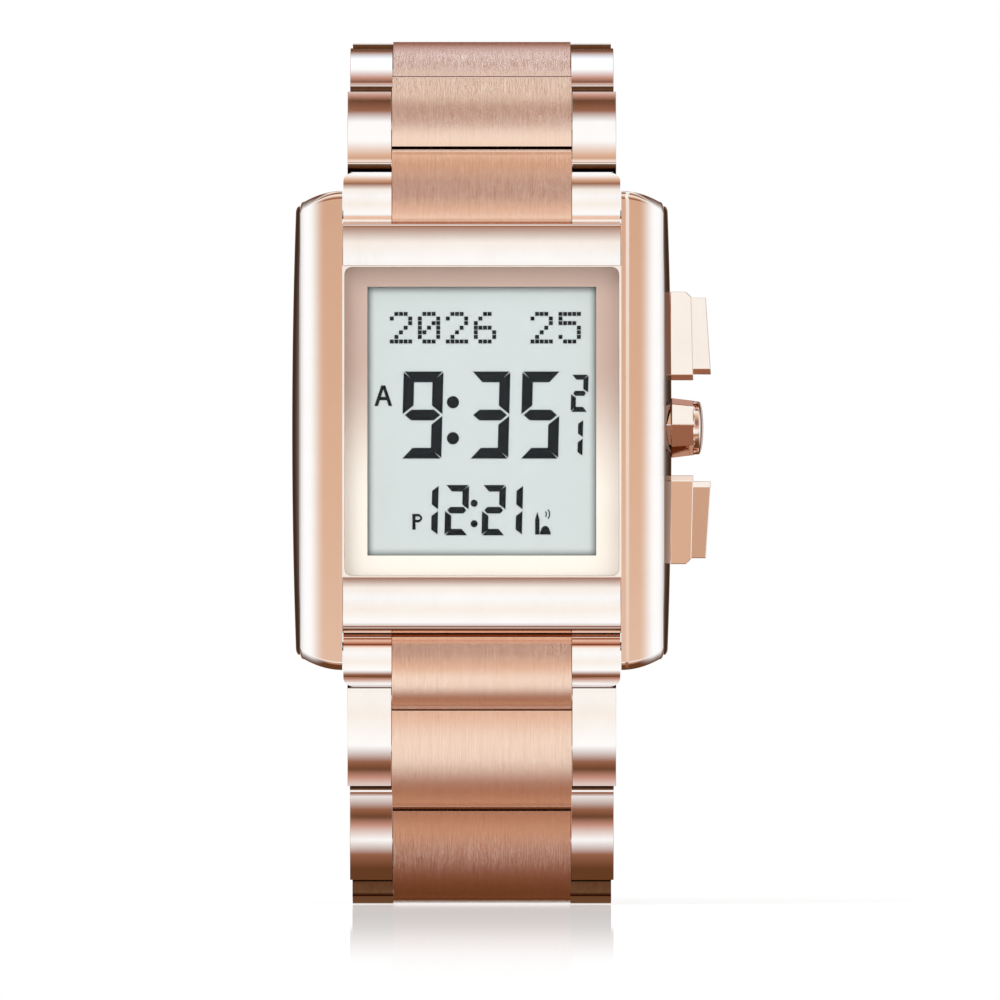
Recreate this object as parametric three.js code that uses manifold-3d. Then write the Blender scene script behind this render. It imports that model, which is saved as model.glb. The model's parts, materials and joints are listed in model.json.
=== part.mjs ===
// Digital prayer-time wristwatch on a three-row steel bracelet, closed to a ring and standing on
// its lower links. Millimetres, +Z up. The dial faces -Y, the crown side is +X.
// Every link turns on the pin that is pressed into its two polished side pieces.
import * as THREE from 'three';
import { mergeVertices } from 'three/addons/utils/BufferGeometryUtils.js';
import Module from 'manifold-3d';

const wasm = await Module();
wasm.setup();

// Driving dimensions: clearances
const slipGap = 0.1;          // between seated pieces that never move
const runGap = 0.2;           // between pieces that move past each other
const boreGap = 0.3;          // on the radius, between a pin and its hole
const overrun = 0.5;          // how far a cutter passes the face that it cuts

// Driving dimensions: middle case
const caseWidth = 35.5;       // across the swell of both flanks
const flankSwell = 0.35;      // each flank, from its ends to mid height
const flankFront = -2.9;      // y of the step between flank and wings
const flankBack = 3.6;        // y of the face that the case back closes
const wingsGap = 26.1;        // between the inner faces of the two wings
const wingStep = 0.4;         // from the flank's ends in to the wing's outer edge
const wingCrest = -5.5;       // y of the wing's inner edge
const wingBrow = -3.4;        // y of the wing's outer edge
const tipBeyondBar = 2.2;     // wing tips above and below the spring bars
const tipShoulderDrop = 1.0;  // fall of the tip from its inner to its outer corner
const tipCornerDrop = 0.7;    // height of the rounded outer corner
const tipCornerInset = 0.4;
const tipChamferHeight = 0.8; // bevel across the wing ends
const tipChamferDepth = 0.9;
const lugShortfall = 0.4;     // how far the lug stays behind the wing tip
const topStripShort = 0.8;    // from the spring bar in to the strip's edge at the bracelet
const bottomStripShort = 1.8;
const stripCrest = -5.0;      // y of the strips beside the crystal
const topStripBrow = -3.4;    // y of the strips beside the bracelet
const bottomStripBrow = -3.1;
const recessFloor = -2.8;     // y of the ledge under the crystal
const ledgeWidth = 0.75;      // ledge round the movement opening
const wingWeld = 0.6;         // how far the middle of the case runs into the wings

// Driving dimensions: crystal and display
const crystalTop = 15.4;
const crystalBottom = -13.7;
const crystalCorner = 0.8;
const crystalThickness = 1.4;
const crystalProud = 0.3;     // stands forward of the strips
const windowWidth = 21.4;
const windowTop = 13.45;
const windowBottom = -11.7;
const maskThickness = 0.3;
const gasketWidth = 0.6;
const lcdThickness = 1.4;
const reflectorThickness = 0.3;

// Driving dimensions: movement
const frameThickness = 2.5;
const contactDepth = 3.0;     // elastomer contact strips, front to back
const contactHeight = 0.7;
const contactLength = 18.0;
const boardThickness = 0.8;
const boardMargin = 0.4;      // board inside the movement opening
const batteryDiameter = 16.0;
const batteryThickness = 1.6;
const batteryHeight = -3.6;   // z of the cell's centre
const clipThickness = 0.2;
const clipWidth = 5.0;
const clipFoot = 1.4;
const sounderDiameter = 11.0;
const sounderThickness = 0.3;
const sounderHeight = 8.6;

// Driving dimensions: back
const backEndMargin = 5.4;    // from the wing tips to the plate's edge
const backCorner = 3.0;
const backThickness = 1.0;
const backGasketThickness = 0.3;
const screwInWing = 0.75;     // from the wings' inner faces out to the screw axes
const screwMargin = 1.2;      // and on to the plate's side edges
const screwEndMargin = 1.4;   // from the screw axes to the plate's top and bottom edges
const screwShank = 1.2;
const screwHead = 2.2;
const screwHeadDepth = 0.5;
const screwLength = 3.2;
const screwSlot = 0.3;

// Driving dimensions: pushers and crown button
const pusherDepthAxis = 0.35; // y of the three button axes
const buttonTravel = 0.8;
const crownHeight = 0.25;     // z of the crown button
const pusherOffset = 8.6;     // z from the crown button to each pusher
const guardLength = 8.3;
const guardDepth = 4.2;
const guardReach = 1.95;      // from the flank outward
const guardFarReach = 1.75;   // the same at the end away from the crown
const guardChamfer = 0.5;
const guardWall = 0.35;
const capShort = 1.15;        // the cap beyond the guard, away from the crown
const capLong = 1.7;          // and next to the crown
const stemDiameter = 1.5;
const crownDiameter = 5.86;   // across its corners
const crownSides = 8;
const crownSink = 0.75;       // crown's inner face behind the swell of the flank
const crownLength = 3.15;     // without its dome
const crownChamfer = 0.3;
const crownDome = 0.6;
const crownDomeDiameter = 5.2;

// Driving dimensions: bracelet
const barDiameter = 1.5;      // spring bars at the case
const barTipDiameter = 0.8;
const barTipLength = 1.2;
const barHeight = 20.2;       // z of the spring bars
const barDepth = -0.6;        // y of the spring bars
const endPitch = 4.8;         // spring bar to first link pin
const linkPitch = 9.2;
const linkThickness = 2.6;
const sideDome = 0.6;
const centerDome = 0.25;
const endWidth = 25.6;        // width of the end links
const centerWidth = 16.9;
const claspWidth = 22.45;     // each link is narrower than the one before, down to this
const claspCenterWidth = 15.5;
const linkPin = 1.2;
const outerRound = 0.5;
const upperLinks = 6;
const lowerLinks = 7;
const rigidPinShare = 0.52;   // of the pitch

// Driving dimensions: clasp
const coverLength = 38.0;     // along the curve, end bar to fold pin
const claspRadius = 45.0;
const coverWall = 0.9;
const coverOuter = 1.9;       // outer face above the pin line
const coverSkirt = 0.9;
const skirtDepth = 1.2;       // inward of the pin line
const coverLip = 1.0;         // wall beyond the fold pin
const bladeThickness = 0.9;
const bladeGap = 0.3;
const bladeWidth = 18.6;
const foldPin = 0.8;
const foldBarrel = 1.3;
const innerBarrel = 2.2;
const innerFoldStart = 3.6;   // along the curve, from the end bar to the inner fold pin
const bladeSlotWidth = 7.0;
const bladeSlotShare = 0.6;   // of the blade's length
const earThickness = 1.3;
const claspButtonLength = 5.0;
const claspButtonHeight = 1.5;
const claspButtonTravel = 0.5;
const claspButtonPlaceShare = 0.72;

// Angles of each link from the vertical towards the back, degrees. closeRing turns them a
// little, so that the two halves meet at the clasp.
const upperLeans = [12, 43.5, 68, 94, 118.5, 142, 165.4];
const lowerLeans = [2, 8, 25, 88, 94, 102, 131.2, 164.5];
const claspLean = 177;
const crownTurn = 39;         // of the crown's facets round its stem

const degrees = Math.PI / 180;
const roundSides = 32;
const smallSides = 16;
const pinSides = 8;

// Materials
const finish = (color, roughness, metalness) =>
  new THREE.MeshStandardMaterial({ color, roughness, metalness });
const polished = finish(0xe0a98b, 0.12, 1);
const brushed = finish(0xc98f72, 0.38, 1);
const steel = finish(0xb9b6b2, 0.3, 1);
const glass = new THREE.MeshStandardMaterial({
  color: 0xe8f0f0, roughness: 0.03, metalness: 0, transparent: true, opacity: 0.35 });
const mirror = finish(0xd9b8a4, 0.15, 0.8);
const rubber = finish(0x1c1c1e, 0.8, 0);
const lcdGlass = finish(0xd5dede, 0.3, 0);
const white = finish(0xe6e8e6, 0.6, 0);
const plastic = finish(0x2b2d30, 0.6, 0);
const board = finish(0x1f5a3a, 0.5, 0);
const brass = finish(0xc9a24a, 0.35, 1);

// Geometry helpers
function toSolid(geometry) {
  const bare = geometry.clone();
  bare.deleteAttribute('normal');
  bare.deleteAttribute('uv');
  const merged = mergeVertices(bare, 1e-5);
  return new wasm.Manifold(new wasm.Mesh({
    numProp: 3,
    vertProperties: Float32Array.from(merged.attributes.position.array),
    triVerts: Uint32Array.from(merged.index.array) }));
}

function toGeometry(solid) {
  const mesh = solid.getMesh();
  const geometry = new THREE.BufferGeometry();
  geometry.setAttribute('position', new THREE.BufferAttribute(mesh.vertProperties, mesh.numProp));
  geometry.setIndex(new THREE.BufferAttribute(mesh.triVerts, 1));
  geometry.computeVertexNormals();
  return geometry;
}

const join = (...solids) => solids.reduce((whole, next) => whole.add(next));
const cut = (whole, ...cutters) => cutters.reduce((rest, next) => rest.subtract(next), whole);

// Extrudes a shape between two places on an axis. The shape's own plane is (y, z) for an
// extrusion along x, (x, z) along y and (x, y) along z.
function prism(shape, axis, from, to, curveSegments = 6) {
  const geometry = new THREE.ExtrudeGeometry(shape, {
    depth: to - from, bevelEnabled: false, curveSegments });
  const turn = new THREE.Matrix4();
  if (axis === 'x') {
    geometry.translate(0, 0, from);
    turn.set(0, 0, 1, 0, 1, 0, 0, 0, 0, 1, 0, 0, 0, 0, 0, 1);
  } else if (axis === 'y') {
    geometry.translate(0, 0, -to);
    turn.set(1, 0, 0, 0, 0, 0, -1, 0, 0, 1, 0, 0, 0, 0, 0, 1);
  } else {
    geometry.translate(0, 0, from);
  }
  geometry.applyMatrix4(turn);
  return toSolid(geometry);
}

// A shape through points [u, v]; a third value rounds that corner by a radius.
function outline(points) {
  const shape = new THREE.Shape();
  const count = points.length;
  points.forEach(([u, v, radius = 0], i) => {
    const here = new THREE.Vector2(u, v);
    const before = new THREE.Vector2(...points[(i + count - 1) % count].slice(0, 2));
    const after = new THREE.Vector2(...points[(i + 1) % count].slice(0, 2));
    const start = here.clone().add(before.sub(here).setLength(radius));
    const end = here.clone().add(after.sub(here).setLength(radius));
    if (i === 0) shape.moveTo(start.x, start.y);
    else shape.lineTo(start.x, start.y);
    if (radius > 0) shape.quadraticCurveTo(here.x, here.y, end.x, end.y);
  });
  shape.closePath();
  return shape;
}

const plate = (left, bottom, right, top, corner = 0) => outline([
  [left, bottom, corner], [right, bottom, corner], [right, top, corner], [left, top, corner]]);

function disc(u, v, diameter) {
  const shape = new THREE.Shape();
  shape.absarc(u, v, diameter / 2, 0, 2 * Math.PI, false);
  return shape;
}

// A full circle takes two segments for each curve segment.
const rod = (axis, from, to, u, v, diameter, sides = smallSides) =>
  prism(disc(u, v, diameter), axis, from, to, sides / 2);

const block = (x0, x1, y0, y1, z0, z1) => prism(plate(x0, y0, x1, y1), 'z', z0, z1);

function addPiece(parent, name, solid, material) {
  const mesh = new THREE.Mesh(toGeometry(solid), material);
  mesh.name = name;
  parent.add(mesh);
  return mesh;
}

// Middle case
const wingInner = wingsGap / 2;
const flankEnd = caseWidth / 2 - flankSwell;
const wingOuter = flankEnd - wingStep;
const tipHeight = barHeight + tipBeyondBar;
const shoulderZ = tipHeight - tipShoulderDrop;
const topStripEdge = barHeight - topStripShort;
const bottomStripEdge = bottomStripShort - barHeight;
const cavity = {
  x: wingInner - ledgeWidth - slipGap,
  top: crystalTop - ledgeWidth,
  bottom: crystalBottom + ledgeWidth,
};

// One wing's outline from the front; side is 1 for the crown side.
function wingOutline(side, outer, swell, shortfall) {
  const inner = wingInner;
  const tip = tipHeight - shortfall;
  const shoulder = shoulderZ - shortfall;
  const shoulderX = outer - tipCornerInset;
  const corner = shoulder - tipCornerDrop;
  const shape = new THREE.Shape();
  shape.moveTo(side * inner, -tip);
  shape.lineTo(side * inner, tip);
  shape.quadraticCurveTo(side * (inner + shoulderX) / 2, tip, side * shoulderX, shoulder);
  shape.quadraticCurveTo(side * outer, shoulder, side * outer, corner);
  if (swell > 0) shape.quadraticCurveTo(side * (outer + 2 * swell), 0, side * outer, -corner);
  else shape.lineTo(side * outer, -corner);
  shape.quadraticCurveTo(side * outer, -shoulder, side * shoulderX, -shoulder);
  shape.quadraticCurveTo(side * (inner + shoulderX) / 2, -tip, side * inner, -tip);
  return shape;
}

function wing(side) {
  const upper = prism(wingOutline(side, wingOuter, 0, 0), 'y', wingCrest, flankFront + overrun);
  const crest = new THREE.Shape();
  crest.moveTo(side * wingInner, flankFront + overrun);
  crest.lineTo(side * wingInner, wingCrest);
  crest.quadraticCurveTo(side * (wingInner + wingOuter * 2) / 3, wingCrest,
    side * wingOuter, wingBrow);
  crest.lineTo(side * wingOuter, flankFront + overrun);
  crest.closePath();
  const crown = prism(crest, 'z', -tipHeight, tipHeight);
  const ends = prism(outline([
    [flankFront + overrun, -tipHeight], [flankFront + overrun, tipHeight],
    [wingCrest + tipChamferDepth, tipHeight], [wingCrest, tipHeight - tipChamferHeight],
    [wingCrest, -tipHeight + tipChamferHeight], [wingCrest + tipChamferDepth, -tipHeight]]),
  'x', -caseWidth, caseWidth);
  const lug = prism(wingOutline(side, flankEnd, flankSwell, lugShortfall),
    'y', flankFront, flankBack);
  return join(upper.intersect(crown).intersect(ends), lug);
}

// The middle of the case between the wings, with its two strips falling to the bracelet.
function caseCore() {
  const profile = new THREE.Shape();
  profile.moveTo(flankBack, bottomStripEdge);
  profile.lineTo(flankBack, topStripEdge);
  profile.lineTo(topStripBrow, topStripEdge);
  profile.quadraticCurveTo(stripCrest, (topStripEdge + crystalTop) / 2, stripCrest, crystalTop);
  profile.lineTo(stripCrest, crystalBottom);
  profile.quadraticCurveTo(stripCrest, (bottomStripEdge + crystalBottom) / 2,
    bottomStripBrow, bottomStripEdge);
  profile.closePath();
  return prism(profile, 'x', -wingInner - wingWeld, wingInner + wingWeld);
}

const buttonBore = stemDiameter + 2 * boreGap;
const stemEnd = cavity.x + buttonTravel + runGap;
const crownSeat = caseWidth / 2 - crownSink;
const crownReach = crownSeat + crownLength;
const backHalf = [wingInner + screwInWing + screwMargin, tipHeight - backEndMargin];
const screwPlaces = [[-1, 1], [1, 1], [1, -1], [-1, -1]].map(
  ([x, z]) => [x * (backHalf[0] - screwMargin), z * (backHalf[1] - screwEndMargin)]);
const linkRadius = linkThickness / 2;
const knuckleReach = linkRadius + runGap;

function midCase() {
  // The strips' slope runs on into the wings, so the core is trimmed to the wings there.
  const inWings = block(-wingInner, wingInner, wingCrest, flankFront, -tipHeight, tipHeight);
  const behind = block(-caseWidth / 2, caseWidth / 2, flankFront, flankBack, -tipHeight, tipHeight);
  const core = caseCore().intersect(join(inWings, behind));
  let body = join(wing(1), wing(-1), core);
  body = cut(body,
    prism(plate(-wingInner, crystalBottom, wingInner, crystalTop), 'y',
      wingCrest - overrun, recessFloor),
    prism(plate(-cavity.x, cavity.bottom, cavity.x, cavity.top, crystalCorner), 'y',
      recessFloor - overrun, flankBack + overrun));
  for (const end of [-1, 1]) {
    const z = end * barHeight;
    body = cut(body,
      rod('x', -wingInner, wingInner, barDepth, z, 2 * (knuckleReach + runGap), roundSides),
      rod('x', -wingInner - barTipLength - slipGap, wingInner + barTipLength + slipGap,
        barDepth, z, barTipDiameter + boreGap));
  }
  for (const z of [crownHeight, crownHeight + pusherOffset, crownHeight - pusherOffset]) {
    body = cut(body, rod('x', cavity.x - overrun, caseWidth / 2 + overrun,
      pusherDepthAxis, z, buttonBore));
  }
  body = cut(body, rod('x', crownSeat - buttonTravel - slipGap, caseWidth / 2 + overrun,
    pusherDepthAxis, crownHeight, crownDiameter + 2 * runGap, roundSides));
  for (const [x, z] of screwPlaces) {
    body = cut(body, rod('y', flankBack - screwLength, flankBack + overrun, x, z,
      screwShank + boreGap));
  }
  return body;
}

// Stack behind the crystal, front to back
const crystalFront = stripCrest - crystalProud;
const crystalBack = crystalFront + crystalThickness;
const maskFront = crystalBack + slipGap;
const gasketFront = maskFront + maskThickness + slipGap;
const lcdFront = gasketFront;
const lcdBack = lcdFront + lcdThickness;
const reflectorFront = lcdBack + slipGap;
const frameFront = reflectorFront + reflectorThickness + slipGap;
const frameBack = frameFront + frameThickness;
const contactFront = lcdBack + slipGap;
const boardFront = Math.max(frameBack, contactFront + contactDepth) + slipGap;
const boardBack = boardFront + boardThickness;
const batteryFront = boardBack + slipGap;
const batteryBack = batteryFront + batteryThickness;
const plateFront = flankBack + backGasketThickness + 2 * slipGap;
const plateBack = plateFront + backThickness;
const crystalX = wingInner - runGap;
const maskX = crystalX;
const crystalZ = [crystalBottom + slipGap, crystalTop - slipGap];
const lcdX = cavity.x - 2 * runGap;
const lcdZ = [cavity.bottom + runGap, cavity.top - runGap];

function crystal() {
  return prism(plate(-crystalX, crystalZ[0], crystalX, crystalZ[1], crystalCorner), 'y',
    crystalFront, crystalBack);
}

function displayMask() {
  const sheet = prism(plate(-maskX, crystalZ[0], maskX, crystalZ[1], crystalCorner), 'y',
    maskFront, maskFront + maskThickness);
  return cut(sheet, prism(plate(-windowWidth / 2, windowBottom, windowWidth / 2, windowTop),
    'y', maskFront - overrun, maskFront + maskThickness + overrun));
}

function crystalGasket() {
  const back = recessFloor - slipGap;
  const ring = prism(plate(-crystalX, crystalZ[0], crystalX, crystalZ[1], crystalCorner), 'y',
    gasketFront, back);
  return cut(ring, prism(plate(-crystalX + gasketWidth, crystalZ[0] + gasketWidth,
    crystalX - gasketWidth, crystalZ[1] - gasketWidth), 'y', gasketFront - overrun,
  back + overrun));
}

function lcdPanel() {
  return prism(plate(-lcdX, lcdZ[0], lcdX, lcdZ[1]), 'y', lcdFront, lcdBack);
}

function lcdReflector() {
  const margin = contactHeight + 3 * slipGap;
  return prism(plate(-lcdX, lcdZ[0] + margin, lcdX, lcdZ[1] - margin), 'y',
    reflectorFront, reflectorFront + reflectorThickness);
}

const contactPlaces = [lcdZ[0] + slipGap, lcdZ[1] - slipGap - contactHeight];
function contactStrip(bottom) {
  return prism(plate(-contactLength / 2, bottom, contactLength / 2, bottom + contactHeight),
    'y', contactFront, contactFront + contactDepth);
}

function moduleFrame() {
  const x = cavity.x - runGap;
  const body = prism(plate(-x, cavity.bottom + runGap, x, cavity.top - runGap), 'y',
    frameFront, frameBack);
  const slots = contactPlaces.map((bottom) => prism(plate(
    -contactLength / 2 - slipGap, bottom - runGap - slipGap,
    contactLength / 2 + slipGap, bottom + contactHeight + runGap + slipGap),
  'y', frameFront - overrun, frameBack + overrun));
  const well = prism(plate(-windowWidth / 2 + gasketWidth, windowBottom + contactLength / 4,
    windowWidth / 2 - gasketWidth, windowTop - contactLength / 4), 'y',
  frameFront + maskThickness, frameBack + overrun);
  return cut(body, ...slots, well);
}

function circuitBoard() {
  const x = cavity.x - boardMargin;
  const sheet = prism(plate(-x, cavity.bottom + boardMargin, x, cavity.top - boardMargin,
    2 * crystalCorner), 'y', boardFront, boardBack);
  return cut(sheet, ...[-1, 1].map((side) => rod('y', boardFront - overrun, boardBack + overrun,
    side * (x - 2 * crystalCorner), cavity.top - boardMargin - 2 * crystalCorner, screwShank)));
}

function battery() {
  const step = batteryThickness / 4;
  return join(
    rod('y', batteryFront, batteryBack - step, 0, batteryHeight, batteryDiameter - 4 * step,
      roundSides),
    rod('y', batteryFront + step, batteryBack, 0, batteryHeight, batteryDiameter, roundSides));
}

// A spring strap across the cell, with a foot on the board at each side.
function batteryClip() {
  const front = batteryBack + slipGap;
  const legX = batteryDiameter / 2 + runGap;
  const outer = legX + clipThickness;
  const strap = [
    [-outer - clipFoot, boardBack + slipGap], [-legX, boardBack + slipGap], [-legX, front],
    [legX, front], [legX, boardBack + slipGap], [outer + clipFoot, boardBack + slipGap],
    [outer + clipFoot, boardBack + slipGap + clipThickness],
    [outer, boardBack + slipGap + clipThickness], [outer, front + clipThickness],
    [-outer, front + clipThickness], [-outer, boardBack + slipGap + clipThickness],
    [-outer - clipFoot, boardBack + slipGap + clipThickness]];
  return prism(outline(strap), 'z', batteryHeight - clipWidth / 2, batteryHeight + clipWidth / 2);
}

function sounderDisc() {
  const back = plateFront - slipGap;
  return rod('y', back - sounderThickness, back, 0, sounderHeight, sounderDiameter, roundSides);
}

function backGasket() {
  const front = flankBack + slipGap;
  const grow = ledgeWidth;
  const ring = prism(plate(-cavity.x - grow, cavity.bottom - grow, cavity.x + grow,
    cavity.top + grow, crystalCorner), 'y', front, front + backGasketThickness);
  return cut(ring, prism(plate(-cavity.x - slipGap, cavity.bottom - slipGap,
    cavity.x + slipGap, cavity.top + slipGap), 'y', front - overrun,
  front + backGasketThickness + overrun));
}

function caseBack() {
  const sheet = prism(plate(-backHalf[0], -backHalf[1], ...backHalf, backCorner), 'y',
    plateFront, plateBack);
  const holes = screwPlaces.flatMap(([x, z]) => [
    rod('y', plateFront - overrun, plateBack + overrun, x, z, screwShank + boreGap),
    rod('y', plateBack - screwHeadDepth - slipGap, plateBack + overrun, x, z,
      screwHead + boreGap, smallSides)]);
  return cut(sheet, ...holes);
}

function backScrew([x, z]) {
  const headFront = plateBack - screwHeadDepth;
  const body = join(
    rod('y', plateBack - screwLength, headFront + slipGap, x, z, screwShank),
    rod('y', headFront, plateBack, x, z, screwHead));
  return cut(body, block(x - screwHead, x + screwHead, plateBack - screwHeadDepth / 2,
    plateBack + overrun, z - screwSlot / 2, z + screwSlot / 2));
}

// Buttons on the crown side; end is 1 for the upper pusher and -1 for the lower one.
const guardFoot = caseWidth / 2 + slipGap;
function pusherGuard(end) {
  const front = pusherDepthAxis - guardDepth / 2;
  const back = pusherDepthAxis + guardDepth / 2;
  const near = crownHeight + end * (pusherOffset - guardLength / 2);
  const far = crownHeight + end * (pusherOffset + guardLength / 2);
  const farX = guardFoot + guardFarReach;
  const body = prism(outline([[guardFoot, near], [guardFoot + guardReach, near],
    [farX, far - end * guardChamfer], [farX - guardChamfer, far], [guardFoot, far]]), 'y',
  front, back);
  const hollow = [near + end * guardWall, far - end * guardWall].sort((a, b) => a - b);
  return cut(body, block(guardFoot - overrun, guardFoot + guardReach + overrun,
    front + guardWall, back - guardWall, ...hollow));
}

function pusher(end) {
  const inset = guardWall + runGap;
  const near = crownHeight + end * (pusherOffset - guardLength / 2 + inset);
  const far = crownHeight + end * (pusherOffset + guardLength / 2 - inset);
  const seat = guardFoot + buttonTravel + runGap;
  const rim = guardFoot + guardReach;
  const cap = prism(outline([[seat, near], [rim + capLong, near],
    [rim + capShort, far], [seat, far]]), 'y',
  pusherDepthAxis - guardDepth / 2 + inset, pusherDepthAxis + guardDepth / 2 - inset);
  return join(cap, rod('x', stemEnd, seat + slipGap, pusherDepthAxis,
    crownHeight + end * pusherOffset, stemDiameter));
}

function crownButton() {
  const corners = [
    [0, crownSeat], [crownDiameter / 2, crownSeat], [crownDiameter / 2, crownReach - crownChamfer],
    [crownDiameter / 2 - crownChamfer, crownReach], [0, crownReach]];
  const dome = [[0, crownReach - overrun], [crownDomeDiameter / 2, crownReach - overrun],
    [crownDomeDiameter / 2, crownReach + crownDome / 3],
    [crownDomeDiameter / 3, crownReach + crownDome * 5 / 6], [0, crownReach + crownDome]];
  const lathe = (points, sides) => toSolid(new THREE.LatheGeometry(
    points.map(([r, x]) => new THREE.Vector2(r, x)), sides)
    .rotateY(crownTurn * degrees)
    .rotateZ(-Math.PI / 2)
    .translate(0, pusherDepthAxis, crownHeight));
  return join(lathe(corners, crownSides), lathe(dome, roundSides),
    rod('x', stemEnd, crownSeat + slipGap, pusherDepthAxis, crownHeight, stemDiameter));
}

// Bracelet. A link's own frame has its hinge pin at the origin and runs along run * z, with
// its outer face towards -y; run is 1 in the upper half and -1 in the lower half.
const widthTaper = (endWidth - claspWidth) / lowerLinks;
const centerTaper = (centerWidth - claspCenterWidth) / lowerLinks;
const widthAt = (link) => endWidth - link * widthTaper;
const centerAt = (link) => centerWidth - link * centerTaper;

// Outline of a link piece between two places along it. A rounded end is full round on its
// inner half, about the pin there, and nearly square on its outer half, so that the links
// fold inward and stop when they lie flat.
function linkOutline(run, from, to, dome, roundStart, roundEnd) {
  const r = linkRadius;
  const shape = new THREE.Shape();
  const point = (along, out) => [-out, run * along];
  const endSteps = 4;
  const corners = [];
  if (roundStart) {
    corners.push([from + outerRound, r]);
    corners.push([from, r - outerRound]);
    for (let i = 0; i <= endSteps; i += 1) {
      const turn = i / endSteps * Math.PI / 2;
      corners.push([from + r - r * Math.cos(turn), -r * Math.sin(turn)]);
    }
  } else {
    corners.push([from, r - runGap / 2], [from, -r]);
  }
  if (roundEnd) {
    for (let i = 0; i <= endSteps; i += 1) {
      const turn = i / endSteps * Math.PI / 2;
      corners.push([to - r + r * Math.sin(turn), -r * Math.cos(turn)]);
    }
    corners.push([to, r - outerRound]);
    corners.push([to - outerRound, r]);
  } else {
    corners.push([to, -r], [to, r - runGap / 2]);
  }
  shape.moveTo(...point(...corners[0]));
  corners.slice(1).forEach((corner) => shape.lineTo(...point(...corner)));
  const last = corners[corners.length - 1];
  const domeSteps = 6;
  for (let i = 1; i < domeSteps; i += 1) {
    const share = i / domeSteps;
    const along = last[0] + (corners[0][0] - last[0]) * share;
    const base = last[1] + (corners[0][1] - last[1]) * share;
    shape.lineTo(...point(along, base + dome * 4 * share * (1 - share)));
  }
  shape.closePath();
  return shape;
}

const pinBore = linkPin + 2 * boreGap;
const rigidPin = rigidPinShare * linkPitch;

// Both polished side pieces of a link with the hinge pin and the rigid pin that hold them.
function linkSides(run, link) {
  const outer = widthAt(link) / 2;
  const inner = centerAt(link) / 2 + runGap;
  const profile = linkOutline(run, -linkRadius, linkPitch - knuckleReach, sideDome, true, false);
  const pins = [0, run * rigidPin].map((z) => rod('x', -inner - overrun, inner + overrun, 0, z,
    linkPin, pinSides));
  return join(prism(profile, 'x', inner, outer), prism(profile, 'x', -outer, -inner), ...pins);
}

function linkCenter(run, link) {
  const half = centerAt(link) / 2;
  const body = prism(linkOutline(run, knuckleReach, linkPitch + linkRadius, centerDome,
    false, true), 'x', -half, half);
  return cut(body, ...[run * rigidPin, run * linkPitch].map((z) => rod('x', -half - overrun,
    half + overrun, 0, z, pinBore, pinSides)));
}

function endLink(run) {
  const outer = widthAt(0) / 2;
  const half = centerAt(0) / 2;
  const sides = prism(linkOutline(run, -linkRadius, endPitch - knuckleReach, sideDome,
    true, false), 'x', -outer, outer);
  const tongue = prism(linkOutline(run, 0, endPitch + linkRadius, centerDome, false, true),
    'x', -half, half);
  return cut(join(sides, tongue),
    rod('x', -outer - overrun, outer + overrun, 0, 0, barDiameter + 2 * boreGap, pinSides),
    rod('x', -half - overrun, half + overrun, 0, run * endPitch, pinBore, pinSides));
}

function springBar(z) {
  const inner = wingInner - slipGap;
  const tips = wingInner + barTipLength;
  return join(rod('x', -inner, inner, barDepth, z, barDiameter),
    rod('x', -tips, tips, barDepth, z, barTipDiameter));
}

// Clasp. Its own frame has the end bar at the origin; a place on it is given along the curve
// and outward from the pin line.
const claspHalfAngle = coverLength / 2 / claspRadius;
function onClasp(along, out) {
  const angle = along / claspRadius - claspHalfAngle;
  const radius = claspRadius + out;
  return [claspRadius * Math.cos(claspHalfAngle) - radius * Math.cos(angle),
    claspRadius * Math.sin(claspHalfAngle) + radius * Math.sin(angle)];
}

function arcOutline(from, to, inner, outer) {
  const steps = 10;
  const shape = new THREE.Shape();
  const places = Array.from({ length: steps + 1 }, (_, i) => from + (to - from) * i / steps);
  places.forEach((along, i) => {
    if (i === 0) shape.moveTo(...onClasp(along, outer));
    else shape.lineTo(...onClasp(along, outer));
  });
  places.reverse().forEach((along) => shape.lineTo(...onClasp(along, inner)));
  shape.closePath();
  return shape;
}

const claspHalf = claspWidth / 2;
const bladeHalf = bladeWidth / 2;
const wallInner = coverOuter - coverWall;
const middleOuter = wallInner - bladeGap;
const middleInner = middleOuter - bladeThickness;
const bottomOuter = middleInner - bladeGap;
const bottomInner = bottomOuter - bladeThickness;
const foldOut = (middleOuter + middleInner) / 2;
const innerFoldOut = (middleInner + bottomOuter) / 2;
const coverEnd = coverLength + coverLip;
const openPivot = coverEnd + runGap + linkRadius;
const foldPlace = onClasp(coverLength, foldOut);
const innerFoldPlace = onClasp(innerFoldStart, innerFoldOut);
const openPivotPlace = onClasp(openPivot, 0);
const buttonAlong = claspButtonPlaceShare * coverLength;
const buttonHalfLength = claspButtonLength / 2;
const claspButtonProud = claspButtonTravel + runGap;

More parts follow.
